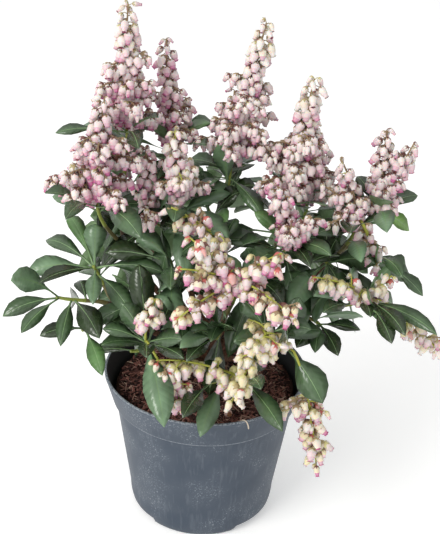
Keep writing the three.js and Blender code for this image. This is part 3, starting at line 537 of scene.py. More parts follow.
def fan(first, columns, pole, inward):
    """Triangles from a ring of points to one pole, as faces of four corners with the last one doubled."""
    k = np.arange(columns)
    a, b = first + k, first + (k + 1) % columns
    pair = (b, a) if inward else (a, b)
    poles = np.full(columns, pole)
    return np.stack([*pair, poles, poles], axis=-1)


def closed_faces(rows, columns):
    """The faces of a closed tube: those between its rings, then the two ends, whose poles come last."""
    count = rows * columns
    ends = [fan(0, columns, count, True), fan(count - columns, columns, count + 1, False)]
    return np.concatenate([lattice(rows, columns), *ends])


def mesh_of(name, points, faces, materials):
    """A mesh from faces of four corners, or of three where the last one is doubled."""
    mesh = bpy.data.meshes.new(name)
    corners = [face[:3] if face[2] == face[3] else face for face in faces.tolist()]
    mesh.from_pydata(points.tolist(), [], corners)
    for material in materials:
        mesh.materials.append(material)
    return mesh


def place_in_scene(name, data):
    made = bpy.data.objects.new(name, data)
    bpy.context.scene.collection.objects.link(made)
    return made


class Surface:
    """Grids of points gathered for one piece, each face with its finish."""

    def __init__(self):
        self.points, self.faces, self.finishes, self.count = [], [], [], 0

    def add(self, points, faces, finish):
        """Adds copies of a shape: points is (copies, n, 3), faces is (m, 4), finish is one or (copies, m)."""
        points = np.asarray(points, float)
        points = points.reshape(1, -1, 3) if points.ndim == 2 else points
        copies, size = points.shape[:2]
        starts = self.count + np.arange(copies)[:, None, None] * size
        self.points.append(points.reshape(-1, 3))
        self.faces.append((faces[None] + starts).reshape(-1, 4))
        self.finishes.append(np.broadcast_to(finish, (copies, len(faces))).reshape(-1))
        self.count += copies * size

    def limb(self, curve, distances, radius, sides, finish, relief=0.0):
        """A closed tube round a curve: rings of radius * (1 + relief) square to it, between two poles."""
        rows = len(distances)
        degrees = np.broadcast_to(np.linspace(0, 360, sides, endpoint=False), (rows, sides))
        out = square_to(curve.way(distances)[:, None], curve.across()[None, None], degrees)
        reach = np.broadcast_to(radius, rows)[:, None] * (1 + np.broadcast_to(relief, (rows, sides)))
        rings = curve.at(distances)[:, None] + out * reach[..., None]
        poles = np.stack([rings[0].mean(axis=0), rings[-1].mean(axis=0)])
        self.add(np.concatenate([rings.reshape(-1, 3), poles]), closed_faces(rows, sides), finish)

    def piece(self, name, materials, slot, smooth=True, blade=None):
        """The finished piece: one mesh at the origin that rides on the plant's body."""
        faces = np.concatenate(self.faces)
        mesh = mesh_of(name, np.concatenate(self.points), faces, materials)
        mesh.polygons.foreach_set("material_index", np.concatenate(self.finishes).astype(np.int32))
        mesh.polygons.foreach_set("use_smooth", np.full(len(faces), smooth))
        if blade is not None:
            mesh.attributes.new("blade", "FLOAT_VECTOR", "POINT").data.foreach_set("vector", blade.ravel())
        mesh.update()
        made = place_in_scene(name, mesh)
        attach(made, "root")
        return made


# ---------------------------------------------------------------- materials

def node(material, kind, inputs=None, **settings):
    """Adds a node: its properties are set, and each input is linked to a socket or given a value."""
    made = material.node_tree.nodes.new(kind)
    for key, value in settings.items():
        setattr(made, key, value)
    for key, value in (inputs or {}).items():
        if isinstance(value, bpy.types.NodeSocket):
            material.node_tree.links.new(value, made.inputs[key])
        else:
            made.inputs[key].default_value = value
    return made


def finish_of(name, base, **sockets):
    """A material with a plain base colour, and the other numbers of its surface set on the shader."""
    material = bpy.data.materials.new(name)
    material.use_nodes = True
    shader = material.node_tree.nodes["Principled BSDF"]
    shader.inputs["Base Color"].default_value = base
    material.diffuse_color = base
    for key, value in sockets.items():
        shader.inputs[key.replace("_", " ").title().replace("Ior", "IOR")].default_value = value
    return material, shader


def plain(name, base, **sockets):
    return finish_of(name, base, **sockets)[0]


def blend_of(a, b, amount):
    """A colour between two, by amount from 0 to 1."""
    return [x + (y - x) * amount for x, y in zip(a, b)]


class Shading:
    """A material made of nodes: each of its methods adds one and gives the socket it ends in."""

    def __init__(self, name, base, **sockets):
        self.material, self.shader = finish_of(name, base, **sockets)
        self.place = self.add("ShaderNodeTexCoord").outputs["Object"]

    def add(self, kind, inputs=None, **settings):
        return node(self.material, kind, inputs, **settings)

    def feed(self, name, socket):
        self.material.node_tree.links.new(socket, self.shader.inputs[name])

    def noise(self, scale, detail, **more):
        inputs = {"Vector": self.place, "Scale": scale, "Detail": detail, **more}
        return self.add("ShaderNodeTexNoise", inputs).outputs["Fac"]

    def upright(self, across, along):
        """The object's space, scaled by across square to the Z axis and by along on it."""
        inputs = {"Vector": self.place, "Scale": (across, across, along)}
        return self.add("ShaderNodeMapping", inputs).outputs[0]

    def maths(self, operation, *values):
        return self.add("ShaderNodeMath", dict(enumerate(values)), operation=operation).outputs[0]

    def ramp(self, value, low, high, start=0, end=1):
        """Runs from start, where value is low, to end, where it is high."""
        return self.add("ShaderNodeMapRange", dict(enumerate((value, low, high, start, end)))).outputs[0]

    def mix(self, amount, a, b):
        inputs = {"Factor": amount, "A": a, "B": b}
        return self.add("ShaderNodeMix", inputs, data_type="RGBA").outputs["Result"]

    def embossed(self, height, strength, distance):
        """The finished material, with a bump of the given height."""
        inputs = {"Height": height, "Strength": strength, "Distance": distance}
        self.feed("Normal", self.add("ShaderNodeBump", inputs).outputs["Normal"])
        return self.material


# ---------------------------------------------------------------- pot and compost

POT_SEGMENTS = 192
FOOT_NOTCHES = dict(count=3, degrees=50, turn=55, inner_radius=44 * MM, slope=1.5)
LEDGE = dict(radius=41 * MM, height=9 * MM, floor=2.5 * MM, heart=12 * MM)
UNDERSIDE_RADII = np.array([10, 24, 36, 43.9, 44.1, 50]) * MM
RIM = dict(bead=0.5 * MM, below=3 * MM, depth=2.2 * MM)
COLLAR_STEP = 2 * MM
# The bands at the collar's shoulder and the rim are partly abrasion and partly a painted highlight.
WEAR_AND_EDGE_HIGHLIGHT = dict(specks=0.55, rubs_and_edge_highlight=0.12, edges=0.75, haze=0.08, shoulder=1.1 * MM, rim=1.6 * MM)


def rounded(profile, radius, steps=4):
    """A profile whose corners are rounded: each is a parabola between points at radius to either side."""
    profile = np.asarray(profile, float)
    out = [profile[:1]]
    for before, corner, after in zip(profile[:-2], profile[1:-1], profile[2:]):
        near = min(radius, 0.45 * np.linalg.norm(before - corner), 0.45 * np.linalg.norm(after - corner))
        start, end = corner + unit(before - corner) * near, corner + unit(after - corner) * near
        t = np.linspace(0, 1, steps + 1)[:, None]
        out.append((1 - t) ** 2 * start + 2 * t * (1 - t) * corner + t ** 2 * end)
    return np.concatenate([*out, profile[-1:]])


def revolved(profile, segments):
    """Each (radius, height) of a profile turned about the Z axis, as rows of points."""
    angle = np.linspace(0, FULL_TURN, segments, endpoint=False)
    radius, height = profile[:, :1], profile[:, 1:]
    return np.stack([radius * np.cos(angle), radius * np.sin(angle), height + 0 * angle], axis=-1)


def closed_turn(profile, segments, inside_from=math.inf):
    """A turned shape whose profile starts and ends on the axis. From a row on, it has its second finish."""
    rows = revolved(profile[1:-1], segments)
    poles = [[0, 0, profile[0][1]], [0, 0, profile[-1][1]]]
    faces = closed_faces(len(rows), segments)
    surface = Surface()
    inside = faces[:, 0] // segments >= inside_from
    surface.add(np.concatenate([rows.reshape(-1, 3), poles]), faces, inside.astype(int))
    return surface


def foot_gap(x, y, height):
    """How high the underside lies at a place: the notch height between two feet and nothing elsewhere."""
    pitch = 360 / FOOT_NOTCHES["count"]
    angle = np.degrees(np.arctan2(y, x)) + 90 - FOOT_NOTCHES["turn"]
    off = np.abs((angle + pitch / 2) % pitch - pitch / 2) - FOOT_NOTCHES["degrees"] / 2
    outside = np.hypot(x, y) >= FOOT_NOTCHES["inner_radius"]
    return np.where(outside, height * np.clip(0.5 - off / FOOT_NOTCHES["slope"], 0, 1), 0)


def plastic_material(settings):
    """Injection-moulded polypropylene: satin slate grey, with dust specks and rubbed streaks. Pale bands at
    the rim and the collar's shoulder are partly abrasion and partly a painted highlight.
    """
    look = Shading("moulded_polypropylene", settings.plastic, roughness=0.5, specular_ior_level=0.16)
    height = look.add("ShaderNodeSeparateXYZ", {0: look.place}).outputs["Z"]
    cloud, grit = look.noise(30, 5), look.noise(800, 2)
    streak = look.noise(1, 3, Vector=look.upright(330, 26))

    def band(level, width):
        return look.ramp(look.maths("ABSOLUTE", look.maths("SUBTRACT", height, level)), width, 0.0)

    # Pale bands at the collar's shoulder and the rim: abrasion, with a painted highlight along them.
    shoulder = band(settings.height - settings.collar_height, WEAR_AND_EDGE_HIGHLIGHT["shoulder"])
    edges = look.maths("MAXIMUM", shoulder, band(settings.height, WEAR_AND_EDGE_HIGHLIGHT["rim"]))
    worn_and_highlit = look.maths("MULTIPLY", edges, look.ramp(grit, 0.34, 0.56))
    specks = look.maths("MULTIPLY", look.ramp(grit, 0.58, 0.7), look.ramp(cloud, 0.5, 0.62))
    rubs_and_edge_highlight = look.maths("MULTIPLY", look.ramp(streak, 0.55, 0.8), WEAR_AND_EDGE_HIGHLIGHT["rubs_and_edge_highlight"])
    # The shoulder and rim bands join the streaks here, so from here on these masks and the marks hold a
    # painted highlight as well as abrasion and dust.
    rubs_and_edge_highlight = look.maths("MAXIMUM", rubs_and_edge_highlight, look.maths("MULTIPLY", worn_and_highlit, WEAR_AND_EDGE_HIGHLIGHT["edges"]))
    marks = look.maths("MAXIMUM", look.maths("MULTIPLY", specks, WEAR_AND_EDGE_HIGHLIGHT["specks"]), rubs_and_edge_highlight)
    dusty = blend_of(settings.plastic, settings.scuff_and_highlight, WEAR_AND_EDGE_HIGHLIGHT["haze"])
    hazy = look.mix(look.ramp(cloud, 0.35, 0.75), settings.plastic, dusty)
    look.feed("Base Color", look.mix(marks, hazy, settings.scuff_and_highlight))
    look.feed("Roughness", look.ramp(marks, 0, 1, 0.46, 0.75))
    return look.embossed(grit, 0.12, 0.2 * MM)


class PIERIS_OT_pot(bpy.types.Operator):
    """Moulds the pot: a thin turned shell with a flared collar, a rolled rim and three feet."""
    bl_idname = "pieris.pot"
    bl_label = "Pot"

    def execute(self, context):
        s = context.scene.pieris_pot
        shoulder = s.height - s.collar_height
        body_top = shoulder - COLLAR_STEP
        turn = np.linspace(0, math.pi / 2, 14)[:, None]
        edge = np.hstack([s.foot_radius + (s.low_radius - s.foot_radius) * np.sin(turn),
                          s.low_height * (1 - np.cos(turn))])
        underside = np.column_stack([UNDERSIDE_RADII, 0 * UNDERSIDE_RADII])
        slope = (s.body_radius - s.low_radius) / (body_top - s.low_height)
        body = [[s.low_radius + slope * (z - s.low_height), z]
                for z in np.linspace(s.low_height, body_top, 12)[1:-1]]
        outside = rounded([
            body[-1], [s.body_radius, body_top], [s.collar_radius, shoulder],
            [s.rim_radius - RIM["bead"], s.height - RIM["below"]], [s.rim_radius, s.height - RIM["depth"]],
            [s.rim_radius, s.height], [s.rim_radius - s.wall - RIM["bead"], s.height],
            [s.collar_radius - s.wall, shoulder + 0.8 * MM], [s.body_radius - s.wall, body_top],
            [s.low_radius - s.wall, s.low_height], [s.foot_radius, LEDGE["height"]],
            [LEDGE["radius"], LEDGE["height"]], [LEDGE["radius"] - s.wall, LEDGE["floor"]],
            [LEDGE["heart"], LEDGE["floor"]],
        ], 0.8 * MM)
        profile = np.concatenate([[[0, 0]], underside, edge, body[:-1], outside, [[0, LEDGE["floor"]]]])
        rim = np.argmax(outside[:, 1] >= s.height - 0.01 * MM)
        inside_from = len(underside) + len(edge) + len(body) - 1 + rim + 3
        surface = closed_turn(profile, POT_SEGMENTS, inside_from)
        points = surface.points[0]
        lift = foot_gap(points[:, 0], points[:, 1], s.notch_height)
        under = np.arange(len(points)) < inside_from * POT_SEGMENTS
        points[:, 2] = np.where(under, np.maximum(points[:, 2], lift), points[:, 2])
        # The inside of the wall is painted near black: painted shade on the same plastic.
        inner = plain("shaded_polypropylene", linear("#1d1f22"), roughness=0.6)
        made = surface.piece("nursery_pot", [plastic_material(s), inner], "pot")
        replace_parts(made, "pot")
        return {"FINISHED"}


COMPOST_SEGMENTS, COMPOST_RINGS = 160, 64
COMPOST_BELOW = np.array([[0, 3], [38, 3], [40, 9.6], [56, 9.6], [60, 20], [72, 105]]) * MM
CRUMB, FINE_CRUMB = 9 * MM, 2.6 * MM
CHIPS = dict(low=[2, 1, 0.6], high=[8, 3.2, 1.9], shades=[0.34, 0.3, 0.2, 0.12, 0.04])
FIBRES = dict(low=[5, 0.3, 0.25], high=[15, 0.8, 0.6], shades=[0.5, 0.35, 0.15])
BOX_FACES = np.array([[0, 1, 3, 2], [4, 6, 7, 5], [0, 4, 5, 1], [2, 3, 7, 6], [0, 2, 6, 4], [1, 5, 7, 3]])
STRAW = np.array([[25, -68, 116], [30, -76, 136], [35, -80, 136.5], [36.2, -77.6, 125]]) * MM
COMPOST_SHADES = ["#33211f", "#573733", "#7a5048", "#97685d", "#b28b7f", "#c4ab98"]


def compost_material(settings):
    """Moist composted bark: dark crumbs of many sizes, with no gloss. The hollows between the crumbs are
    painted near black: painted shade.
    """
    look = Shading("composted_bark", settings.earth, roughness=0.95, specular_ior_level=0.2)
    crumbs_and_hollow_shade = look.noise(260, 8, Roughness=0.75)
    # One noise sets both relief and colour, so the low hollows are painted near black: painted shade.
    look.feed("Base Color", look.mix(crumbs_and_hollow_shade, linear("#150d0c"), linear("#5a3c36")))
    return look.embossed(crumbs_and_hollow_shade, 0.9, 1.2 * MM)


class PIERIS_OT_compost(bpy.types.Operator):
    """Fills the pot with compost: an uneven surface strewn with chips and fibres of bark."""
    bl_idname = "pieris.compost"
    bl_label = "Compost"

    def execute(self, context):
        s = context.scene.pieris_compost
        wide = context.scene.pieris_pot.collar_radius - 2.6 * MM
        radii = np.linspace(wide - 0.6 * MM, 1.2 * MM, COMPOST_RINGS)
        top = np.column_stack([radii, np.full(len(radii), s.top)])
        side = [[wide, 109 * MM], [wide, s.top - 4 * MM]]
        surface = closed_turn(np.concatenate([COMPOST_BELOW, side, top, [[0, s.top]]]), COMPOST_SEGMENTS)
        points = surface.points[0]
        x, y = points[:, 0], points[:, 1]
        crumbs = ripple(3, x / CRUMB, y / CRUMB, 1, 5)
        fine = ripple(4, x / FINE_CRUMB, y / FINE_CRUMB, 1, 5)
        loose = points[:, 2] > s.top - 0.5 * MM
        points[:, 2] += loose * s.relief * (0.5 * crumbs + 0.4 * fine)
        points[:, 2] = np.where(loose, np.minimum(points[:, 2], s.top + 3 * MM), points[:, 2])
        body = surface.piece("compost_body", [compost_material(s)], "compost")
        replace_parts(body, "compost")
        self.strew(s, wide)
        return {"FINISHED"}

    def strew(self, s, wide):
        """Chips are six-faced splinters; each lies at its own angle, nearly level, on the surface."""
        draw = np.random.default_rng(11)
        count = s.chips + s.fibres
        fibre = np.arange(count) >= s.chips
        radius = (wide - 4 * MM) * np.sqrt(draw.uniform(0.01, 1, count))
        around = draw.uniform(0, FULL_TURN, count)
        long, short = [draw.uniform(kind["low"], kind["high"], (count, 3)) for kind in (FIBRES, CHIPS)]
        size = np.where(fibre[:, None], long, short) * MM / 2
        radius = np.minimum(radius, wide - 1 * MM - size[:, 0] - 1 * MM)
        height = s.top + draw.uniform(-0.6, 3.6, count) * MM
        place = np.stack([radius * np.cos(around), radius * np.sin(around), height], axis=-1)
        heading, pitch = draw.uniform(0, FULL_TURN, count), draw.normal(0, 0.36, count)
        level = np.cos(pitch)
        way = np.stack([np.cos(heading) * level, np.sin(heading) * level, np.sin(pitch)], axis=-1)
        side = square_to(way, UP[None], draw.uniform(60, 120, count))
        over = np.cross(way, side)
        ends = np.array([[x, y, z] for x in (-1, 1) for y in (-1, 1) for z in (-1, 1)], float)
        corners = ends * np.where(ends[:, :1] > 0, [1, 0.45, 0.5], [1, 0.9, 1])
        local = corners[None] * size[:, None]
        reach = sum(local[..., k:k + 1] * axis[:, None] for k, axis in enumerate((way, side, over)))
        shade = np.where(fibre, draw.choice([3, 4, 5], count, p=FIBRES["shades"]),
                         draw.choice(5, count, p=CHIPS["shades"]))
        surface = Surface()
        surface.add(place[:, None] + reach, BOX_FACES, shade[:, None])
        shades = [plain(f"bark_crumb_{i + 1}", linear(h), roughness=0.9, specular_ior_level=0.25)
                  for i, h in enumerate(COMPOST_SHADES)]
        shades += [plain("dry_straw", linear("#cdc0ad"), roughness=0.7)]
        straw = Curve(STRAW, steps=20)
        surface.limb(straw, np.linspace(0, straw.length, 14), 0.5 * MM, 5, len(COMPOST_SHADES))
        surface.piece("compost_chips", shades, "compost", smooth=False)


# ---------------------------------------------------------------- trunk and boughs

TRUNK_FOOT = np.array([2, 8, 115.3]) * MM
TRUNK_TOP = np.array([6, 12, 162]) * MM
TRUNK_RINGS, TRUNK_SIDES, BOUGH_RINGS, BOUGH_SIDES = 84, 56, 56, 18
TRUNK_SWELL = dict(depth=0.16, roots=5, fading=7)
TRUNK_CROWN = 0.93
BOUGH_BEND = dict(rise=0.75, lift=0.25, bend=0.3)
STEM_LENGTH = 9 * MM


def trunk_curve():
    middle = np.array([*TRUNK_FOOT[:2], (TRUNK_FOOT[2] + TRUNK_TOP[2]) / 2])
    return Curve([TRUNK_FOOT - [0, 0, 3 * MM], middle, TRUNK_TOP])


def trunk_radius(s, t):
    return s.trunk_foot + (s.trunk_top - s.trunk_foot) * t + s.flare * np.exp(-9 * t)


def bough_curve(s, plan):
    """A bough leaves the trunk's heart towards its fork and bends upwards on the way."""
    end = np.array(plan["fork"]) * MM
    trunk = trunk_curve()
    t = np.clip((plan["start"] * MM - TRUNK_FOOT[2]) / (TRUNK_TOP[2] - TRUNK_FOOT[2]), 0, 1)
    centre = trunk.at(t * trunk.length)
    outward = unit((end - centre) * [1, 1, 0])
    foot = centre + outward * trunk_radius(s, t) * 0.55
    span = np.linalg.norm(end - foot)
    rising = unit(outward + UP * BOUGH_BEND["rise"])
    arriving = unit(end - foot + UP * span * BOUGH_BEND["lift"])
    reach = span * BOUGH_BEND["bend"]
    return Curve([foot, foot + rising * reach, end - arriving * reach, end])


def bark_material(settings):
    """Fissured shrub bark: dry grey-brown ridges over darker cracks that run along the stem. The cracks'
    darkness is partly the bark's own colour and partly painted shade.
    """
    look = Shading("fissured_bark", settings.ridge, roughness=0.88, specular_ior_level=0.25)
    grain_and_crack_shade = look.noise(1, 6, Vector=look.upright(900, 210), Roughness=0.7)
    warm = look.mix(look.noise(90, 3), settings.ridge, linear("#94604a"))
    # Where the relief is low the colour goes to the crack colour: partly the fissures' own, partly painted
    # shade.
    look.feed("Base Color", look.mix(look.ramp(grain_and_crack_shade, 0.36, 0.62), settings.crack, warm))
    return look.embossed(grain_and_crack_shade, 0.8, 0.5 * MM)


def bark_relief(seed, rows, sides, depth, ridges):
    """Ridges that run along a stem and wander: depth * (|waves| - a little), with finer waves on them."""
    along = np.linspace(0, 1, rows)[:, None]
    around = np.linspace(0, FULL_TURN, sides, endpoint=False)[None]
    coarse = ripple(seed, along * 5, around, ridges, 2 * ridges)
    fine = ripple(seed + 50, along * 16, around, 2 * ridges, 4 * ridges)
    return depth * (np.abs(coarse) - 0.4 + 0.35 * fine)


class PIERIS_OT_bark(bpy.types.Operator):
    """Grows the trunk and its boughs, each a tapering limb with ridged bark."""
    bl_idname = "pieris.bark"
    bl_label = "Trunk and boughs"

    def execute(self, context):
        s = context.scene.pieris_bark
        bark = bark_material(s)
        curve = trunk_curve()
        t = np.linspace(0, 1, TRUNK_RINGS)
        around = np.linspace(0, FULL_TURN, TRUNK_SIDES, endpoint=False)
        swell = TRUNK_SWELL["depth"] * np.exp(-TRUNK_SWELL["fading"] * t)[:, None]
        relief = bark_relief(21, TRUNK_RINGS, TRUNK_SIDES, s.fissures * 0.9, 7)
        relief = relief + swell * np.cos(TRUNK_SWELL["roots"] * around)
        crown = ((t - TRUNK_CROWN) / (1 - TRUNK_CROWN)).clip(0, 1)
        radius = trunk_radius(s, t) * np.sqrt(np.clip(1 - crown ** 2, 0.02, 1))
        surface = Surface()
        surface.limb(curve, t * curve.length, radius, TRUNK_SIDES, 0, relief)
        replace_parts(surface.piece("trunk_bark", [bark], "bark"), "trunk")

        surface = Surface()
        t = np.linspace(0, 1, BOUGH_RINGS)
        radius = (s.bough_foot + (s.bough_tip - s.bough_foot) * t) * (1 + 0.5 * np.exp(-14 * t))
        for i, plan in enumerate(MASSES.values()):
            curve = bough_curve(s, plan)
            relief = bark_relief(31 + i, BOUGH_RINGS, BOUGH_SIDES, s.fissures * 0.8, 3)
            surface.limb(curve, t * curve.length, radius, BOUGH_SIDES, 0, relief)
        made = surface.piece("bough_bark", [bark], "bark")
        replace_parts(made, *[n for n in NODES if n.startswith("bough_")])
        return {"FINISHED"}


# ---------------------------------------------------------------- shoots

SHOOT_RADII = (1.9 * MM, 1.25 * MM)
SHOOT_RINGS, SHOOT_SIDES = 26, 9
SHOOT_JOINTS = dict(apart=7 * MM, swell=0.16)
STEM_ROOT_AT = 0.7
SHOOT_BENDS = (0.3, 0.35)
LEAF_TIER = dict(below=3 * MM, apart=5.5 * MM, twist=-50, upper_open=0.62, lower_open=1.1, upper_blade=0.84,
                 uneven=0.12, open_uneven=0.07)


def stem_of(context, plan):
    """The short stem past a bough's tip, as its start and its way."""
    bough = bough_curve(context.scene.pieris_bark, plan)
    return bough.points[-1], bough.ways[-1]


def shoot_curve(context, plan, spec):
    """A shoot bends from the stem at its mass's fork to its own tip, where it points along its aim."""
    start, way = stem_of(context, plan)
    foot = start + way * STEM_LENGTH * STEM_ROOT_AT
    end = np.array(spec["tip"]) * MM
    span = np.linalg.norm(end - foot)
    aim = unit(np.array(spec["aim"], float))
    return Curve([foot, foot + way * span * SHOOT_BENDS[0], end - aim * span * SHOOT_BENDS[1], end])


class PIERIS_OT_shoots(bpy.types.Operator):
    """Grows the shoots from the boughs' tips: brown and woody below, yellow-green under the leaves."""
    bl_idname = "pieris.shoots"
    bl_label = "Shoots"

    def execute(self, context):
        surface = Surface()
        t = np.linspace(0, 1, SHOOT_RINGS)
        around = np.linspace(0, SHORT_TURN, SHOOT_SIDES)[None]
        taper = SHOOT_RADII[0] + (SHOOT_RADII[1] - SHOOT_RADII[0]) * t
        for i, plan in enumerate(MASSES.values()):
            start, way = stem_of(context, plan)
            stem = Curve([start - way * 2 * MM, start + way * STEM_LENGTH], steps=8)
            surface.limb(stem, np.linspace(0, stem.length, 6), 2.1 * MM, SHOOT_SIDES, 0)
            for j, spec in enumerate(plan["shoots"].values()):
                curve = shoot_curve(context, plan, spec)
                joints = np.maximum(0, np.sin(t * curve.length / SHOOT_JOINTS["apart"] * math.pi)) ** 6
                radius = taper * (1 + SHOOT_JOINTS["swell"] * joints)
                relief = 0.05 * ripple(40 + 5 * i + j, t[:, None] * 9, around, 1, 4)
                age = np.clip(np.floor(3.2 * (t[:-1] + 0.1 * chance(i, j))), 0, 2).astype(int)
                age = np.repeat([*age, age[0], age[-1]], SHOOT_SIDES)
                surface.limb(curve, t * curve.length, radius, SHOOT_SIDES, age, relief)
        woods = [plain("woody_shoot", linear("#5f4a38"), roughness=0.8),
                 plain("ripening_shoot", linear("#70683f"), roughness=0.6),
                 plain("green_shoot", linear("#86913f"), roughness=0.5)]
        surface.piece("shoots", woods, "bark")
        return {"FINISHED"}


# ---------------------------------------------------------------- leaves

LEAF_NECK = 0.11
LEAF_ROWS = np.array([0, LEAF_NECK, 0.2, 0.34, 0.5, 0.66, 0.81, 0.93, 1])
LEAF_STRETCH = np.clip((LEAF_ROWS - LEAF_NECK) / (1 - LEAF_NECK), 0, 1)
LEAF_OUTLINE = np.sin(np.pi * LEAF_STRETCH ** 1.45) ** 0.86
STALK_TAPER = np.clip(1.25 - 1.6 * LEAF_ROWS, 0.12, 1)
RIB_TAPER = np.clip(1.3 - LEAF_ROWS, 0.3, 1)
FOLD_GROWTH = np.clip(LEAF_OUTLINE * 1.4, 0, 1)
ROOT_SWELL = 1 + 1.2 * np.clip(0.2 - LEAF_ROWS, 0, 1) / 0.2
LEAF_TIP_FALL = 0.09
LAST_TIER_MISSING = 0.45
FRONT_LEAF, RISING_LEAF = 0.05, 0.45
RIB_WIDTH, MOST_RIB = 0.75 * MM, 0.6
LEAF_SHADES = dict(dark=0.25, mid=0.27, light=0.29, young=0.36, lit=0.42, back=0.6, rib=0.45)
SHADE_AT = {name: i for i, name in enumerate(LEAF_SHADES)}
SAG = dict(least=0.4, more=1.5, placed_least=0.5, placed_more=1.1)
LEAF_SPREAD = dict(fold=(0.05, 0.42), turn=16, placed_turn=0.3, width=(0.9, 1.12), wave=(-0.09, 0.09))
LEAF_CHANCE = dict(mid=0.5, dark=0.55, young=0.22)
LEAF_WAVES = 11
VEINS = dict(apart=4.6 * MM, forward=0.85, relief=0.16 * MM)


def leaves_of_shoot(context, plan, spec, seed):
    """The leaves of one shoot, by the solids' rule: tiers of three below the tip, the lower ones longer."""
    curve = shoot_curve(context, plan, spec)
    across = curve.across()
    rule = LEAF_TIER
    made = []
    for tier in range(spec["tiers"] + 1):
        low = tier / (MOST_LEAF_TIERS - 1)
        distance = curve.length - rule["below"] - tier * rule["apart"]
        axis = curve.way(distance)
        for k in range(3):
            if tier == spec["tiers"] and chance(seed, 40 + k) < LAST_TIER_MISSING:
                continue
            out = square_to(axis, across, 90.0 + 120 * k + spec["turn"] + rule["twist"] * tier)
            size = spec["blade"] * MM * (rule["upper_blade"] + (1 - rule["upper_blade"]) * min(low, 1))
            spread = rule["upper_open"] + (rule["lower_open"] - rule["upper_open"]) * low
            open_angle = math.radians(spec["open"] * spread * vary(rule["open_uneven"], seed, k + 20))
            way = axis * math.cos(open_angle) + out * math.sin(open_angle)
            share = SAG["least"] + SAG["more"] * chance(seed, 60 + 3 * tier + k)
            sag = context.scene.pieris_leaf.sag * share
            size = size * vary(rule["uneven"], seed, 3 * tier + k)
            made.append(dict(root=curve.at(distance), way=way, side=np.cross(axis, out), sag=sag, tier=tier,
                             length=size, width=0.0, neck=LEAF_NECK, shade=-1))
    return made


def placed_leaf(context, curve, row, seed):
    """A leaf that reaches a given tip: its length l solves |tip - root + l fall up| = l, where it falls by
    l fall in all."""
    below, width, neck, roll, shade = row[3:]
    root = curve.at(curve.length - below * MM)
    span = np.array(row[:3]) * MM - root
    sag = context.scene.pieris_leaf.sag * (SAG["placed_least"] + SAG["placed_more"] * chance(seed, 90))
    fall = sag + LEAF_TIP_FALL
    rise = span[2] * fall
    size = (rise + math.sqrt(rise ** 2 + (1 - fall ** 2) * span @ span)) / (1 - fall ** 2)
    way = unit(span + UP * size * fall)
    side = square_to(way, np.cross(UP, way), roll)
    return dict(root=root, way=way, side=side, sag=sag, tier=1, length=size, width=width * MM,
                neck=neck, shade=SHADE_AT[shade])


def whorl_of(context, mass_name, key, seed):
    """A shoot's leaves by the rule. Where it keeps its front leaves, each placed leaf takes the room of the
    nearest of them, and elsewhere the placed leaves stand in for those that hang to the front."""
    plan = MASSES[mass_name]
    spec = plan["shoots"][key]
    leaves = leaves_of_shoot(context, plan, spec, seed)
    curve = shoot_curve(context, plan, spec)
    rows = PLACED_LEAVES.get((mass_name, key), [])
    own = [placed_leaf(context, curve, row, seed + i) for i, row in enumerate(rows)]
    for one in own if spec["front"] else []:
        near = max(range(len(leaves)), key=lambda i: leaves[i]["way"] @ one["way"], default=None)
        if near is not None and leaves[near]["way"] @ one["way"] > 0.1:
            leaves.pop(near)
    hanging = [leaf["way"][1] < FRONT_LEAF and leaf["way"][2] < RISING_LEAF for leaf in leaves]
    kept = [leaf for leaf, low in zip(leaves, hanging) if spec["front"] or not low]
    return [leaf for i, leaf in enumerate(kept) if i not in spec["skip"]] + own


def leaf_points(s, leaves):
    """Blades as flattened tubes along an arched midrib.

    The midrib is root + way L t - up sag L t^2. Round it goes a section of six points, whose half width is
    sin(pi u^1.45)^0.86 of the widest, where u counts from the end of the stalk, and whose edges are raised.
    """
    neck = leaves["neck"][:, None]
    t = np.where(LEAF_ROWS < LEAF_NECK, neck * LEAF_ROWS / LEAF_NECK, neck + (1 - neck) * LEAF_STRETCH)
    t = t[..., None]
    size, way, sag = [leaves[key].reshape(len(neck), 1, -1) for key in ("length", "way", "sag")]
    spine = leaves["root"][:, None] + way * size * t - UP * size * (sag * t ** 2 + LEAF_TIP_FALL * t ** 4)
    tangent = unit(way - UP * (2 * sag * t + 4 * LEAF_TIP_FALL * t ** 3))
    turn = leaves["twist"][:, None] * LEAF_ROWS[None]
    side = square_to(tangent, np.broadcast_to(leaves["side"][:, None], spine.shape), turn)
    over = np.cross(tangent, side)
    half = np.maximum(leaves["width"][:, None] / 2 * LEAF_OUTLINE, s.stalk / 2 * STALK_TAPER)
    rib = np.clip(RIB_WIDTH / 2 / half * RIB_TAPER, 0, MOST_RIB)
    edge = np.ones_like(half)
    columns = np.stack([edge, rib, -rib, -edge, -rib, rib])
    level = np.array([0, 1, 1, 0, -1, -1])[:, None, None]
    fold = leaves["fold"][:, None] * FOLD_GROWTH
    wave = leaves["wave"][:, None] * np.sin(LEAF_ROWS * LEAF_WAVES + leaves["phase"][:, None])
    lift = half * (fold * np.abs(columns) + wave * columns * np.abs(columns))
    lift = lift + level * (s.thickness / 2 * ROOT_SWELL)
    points = spine + side * (columns * half)[..., None] + over * lift[..., None]
    along = np.broadcast_to(size[..., 0] * t[..., 0], columns.shape)
    marks = np.stack([along, columns * half, 0 * columns], axis=-1)
    return np.moveaxis(points, 0, 2), np.moveaxis(marks, 0, 2)


def with_poles(grids):
    """Each grid of points in one row, followed by the middles of its first and last ring."""
    return np.concatenate([grids.reshape(len(grids), -1, 3), grids[:, [0, -1]].mean(axis=2)], axis=1)


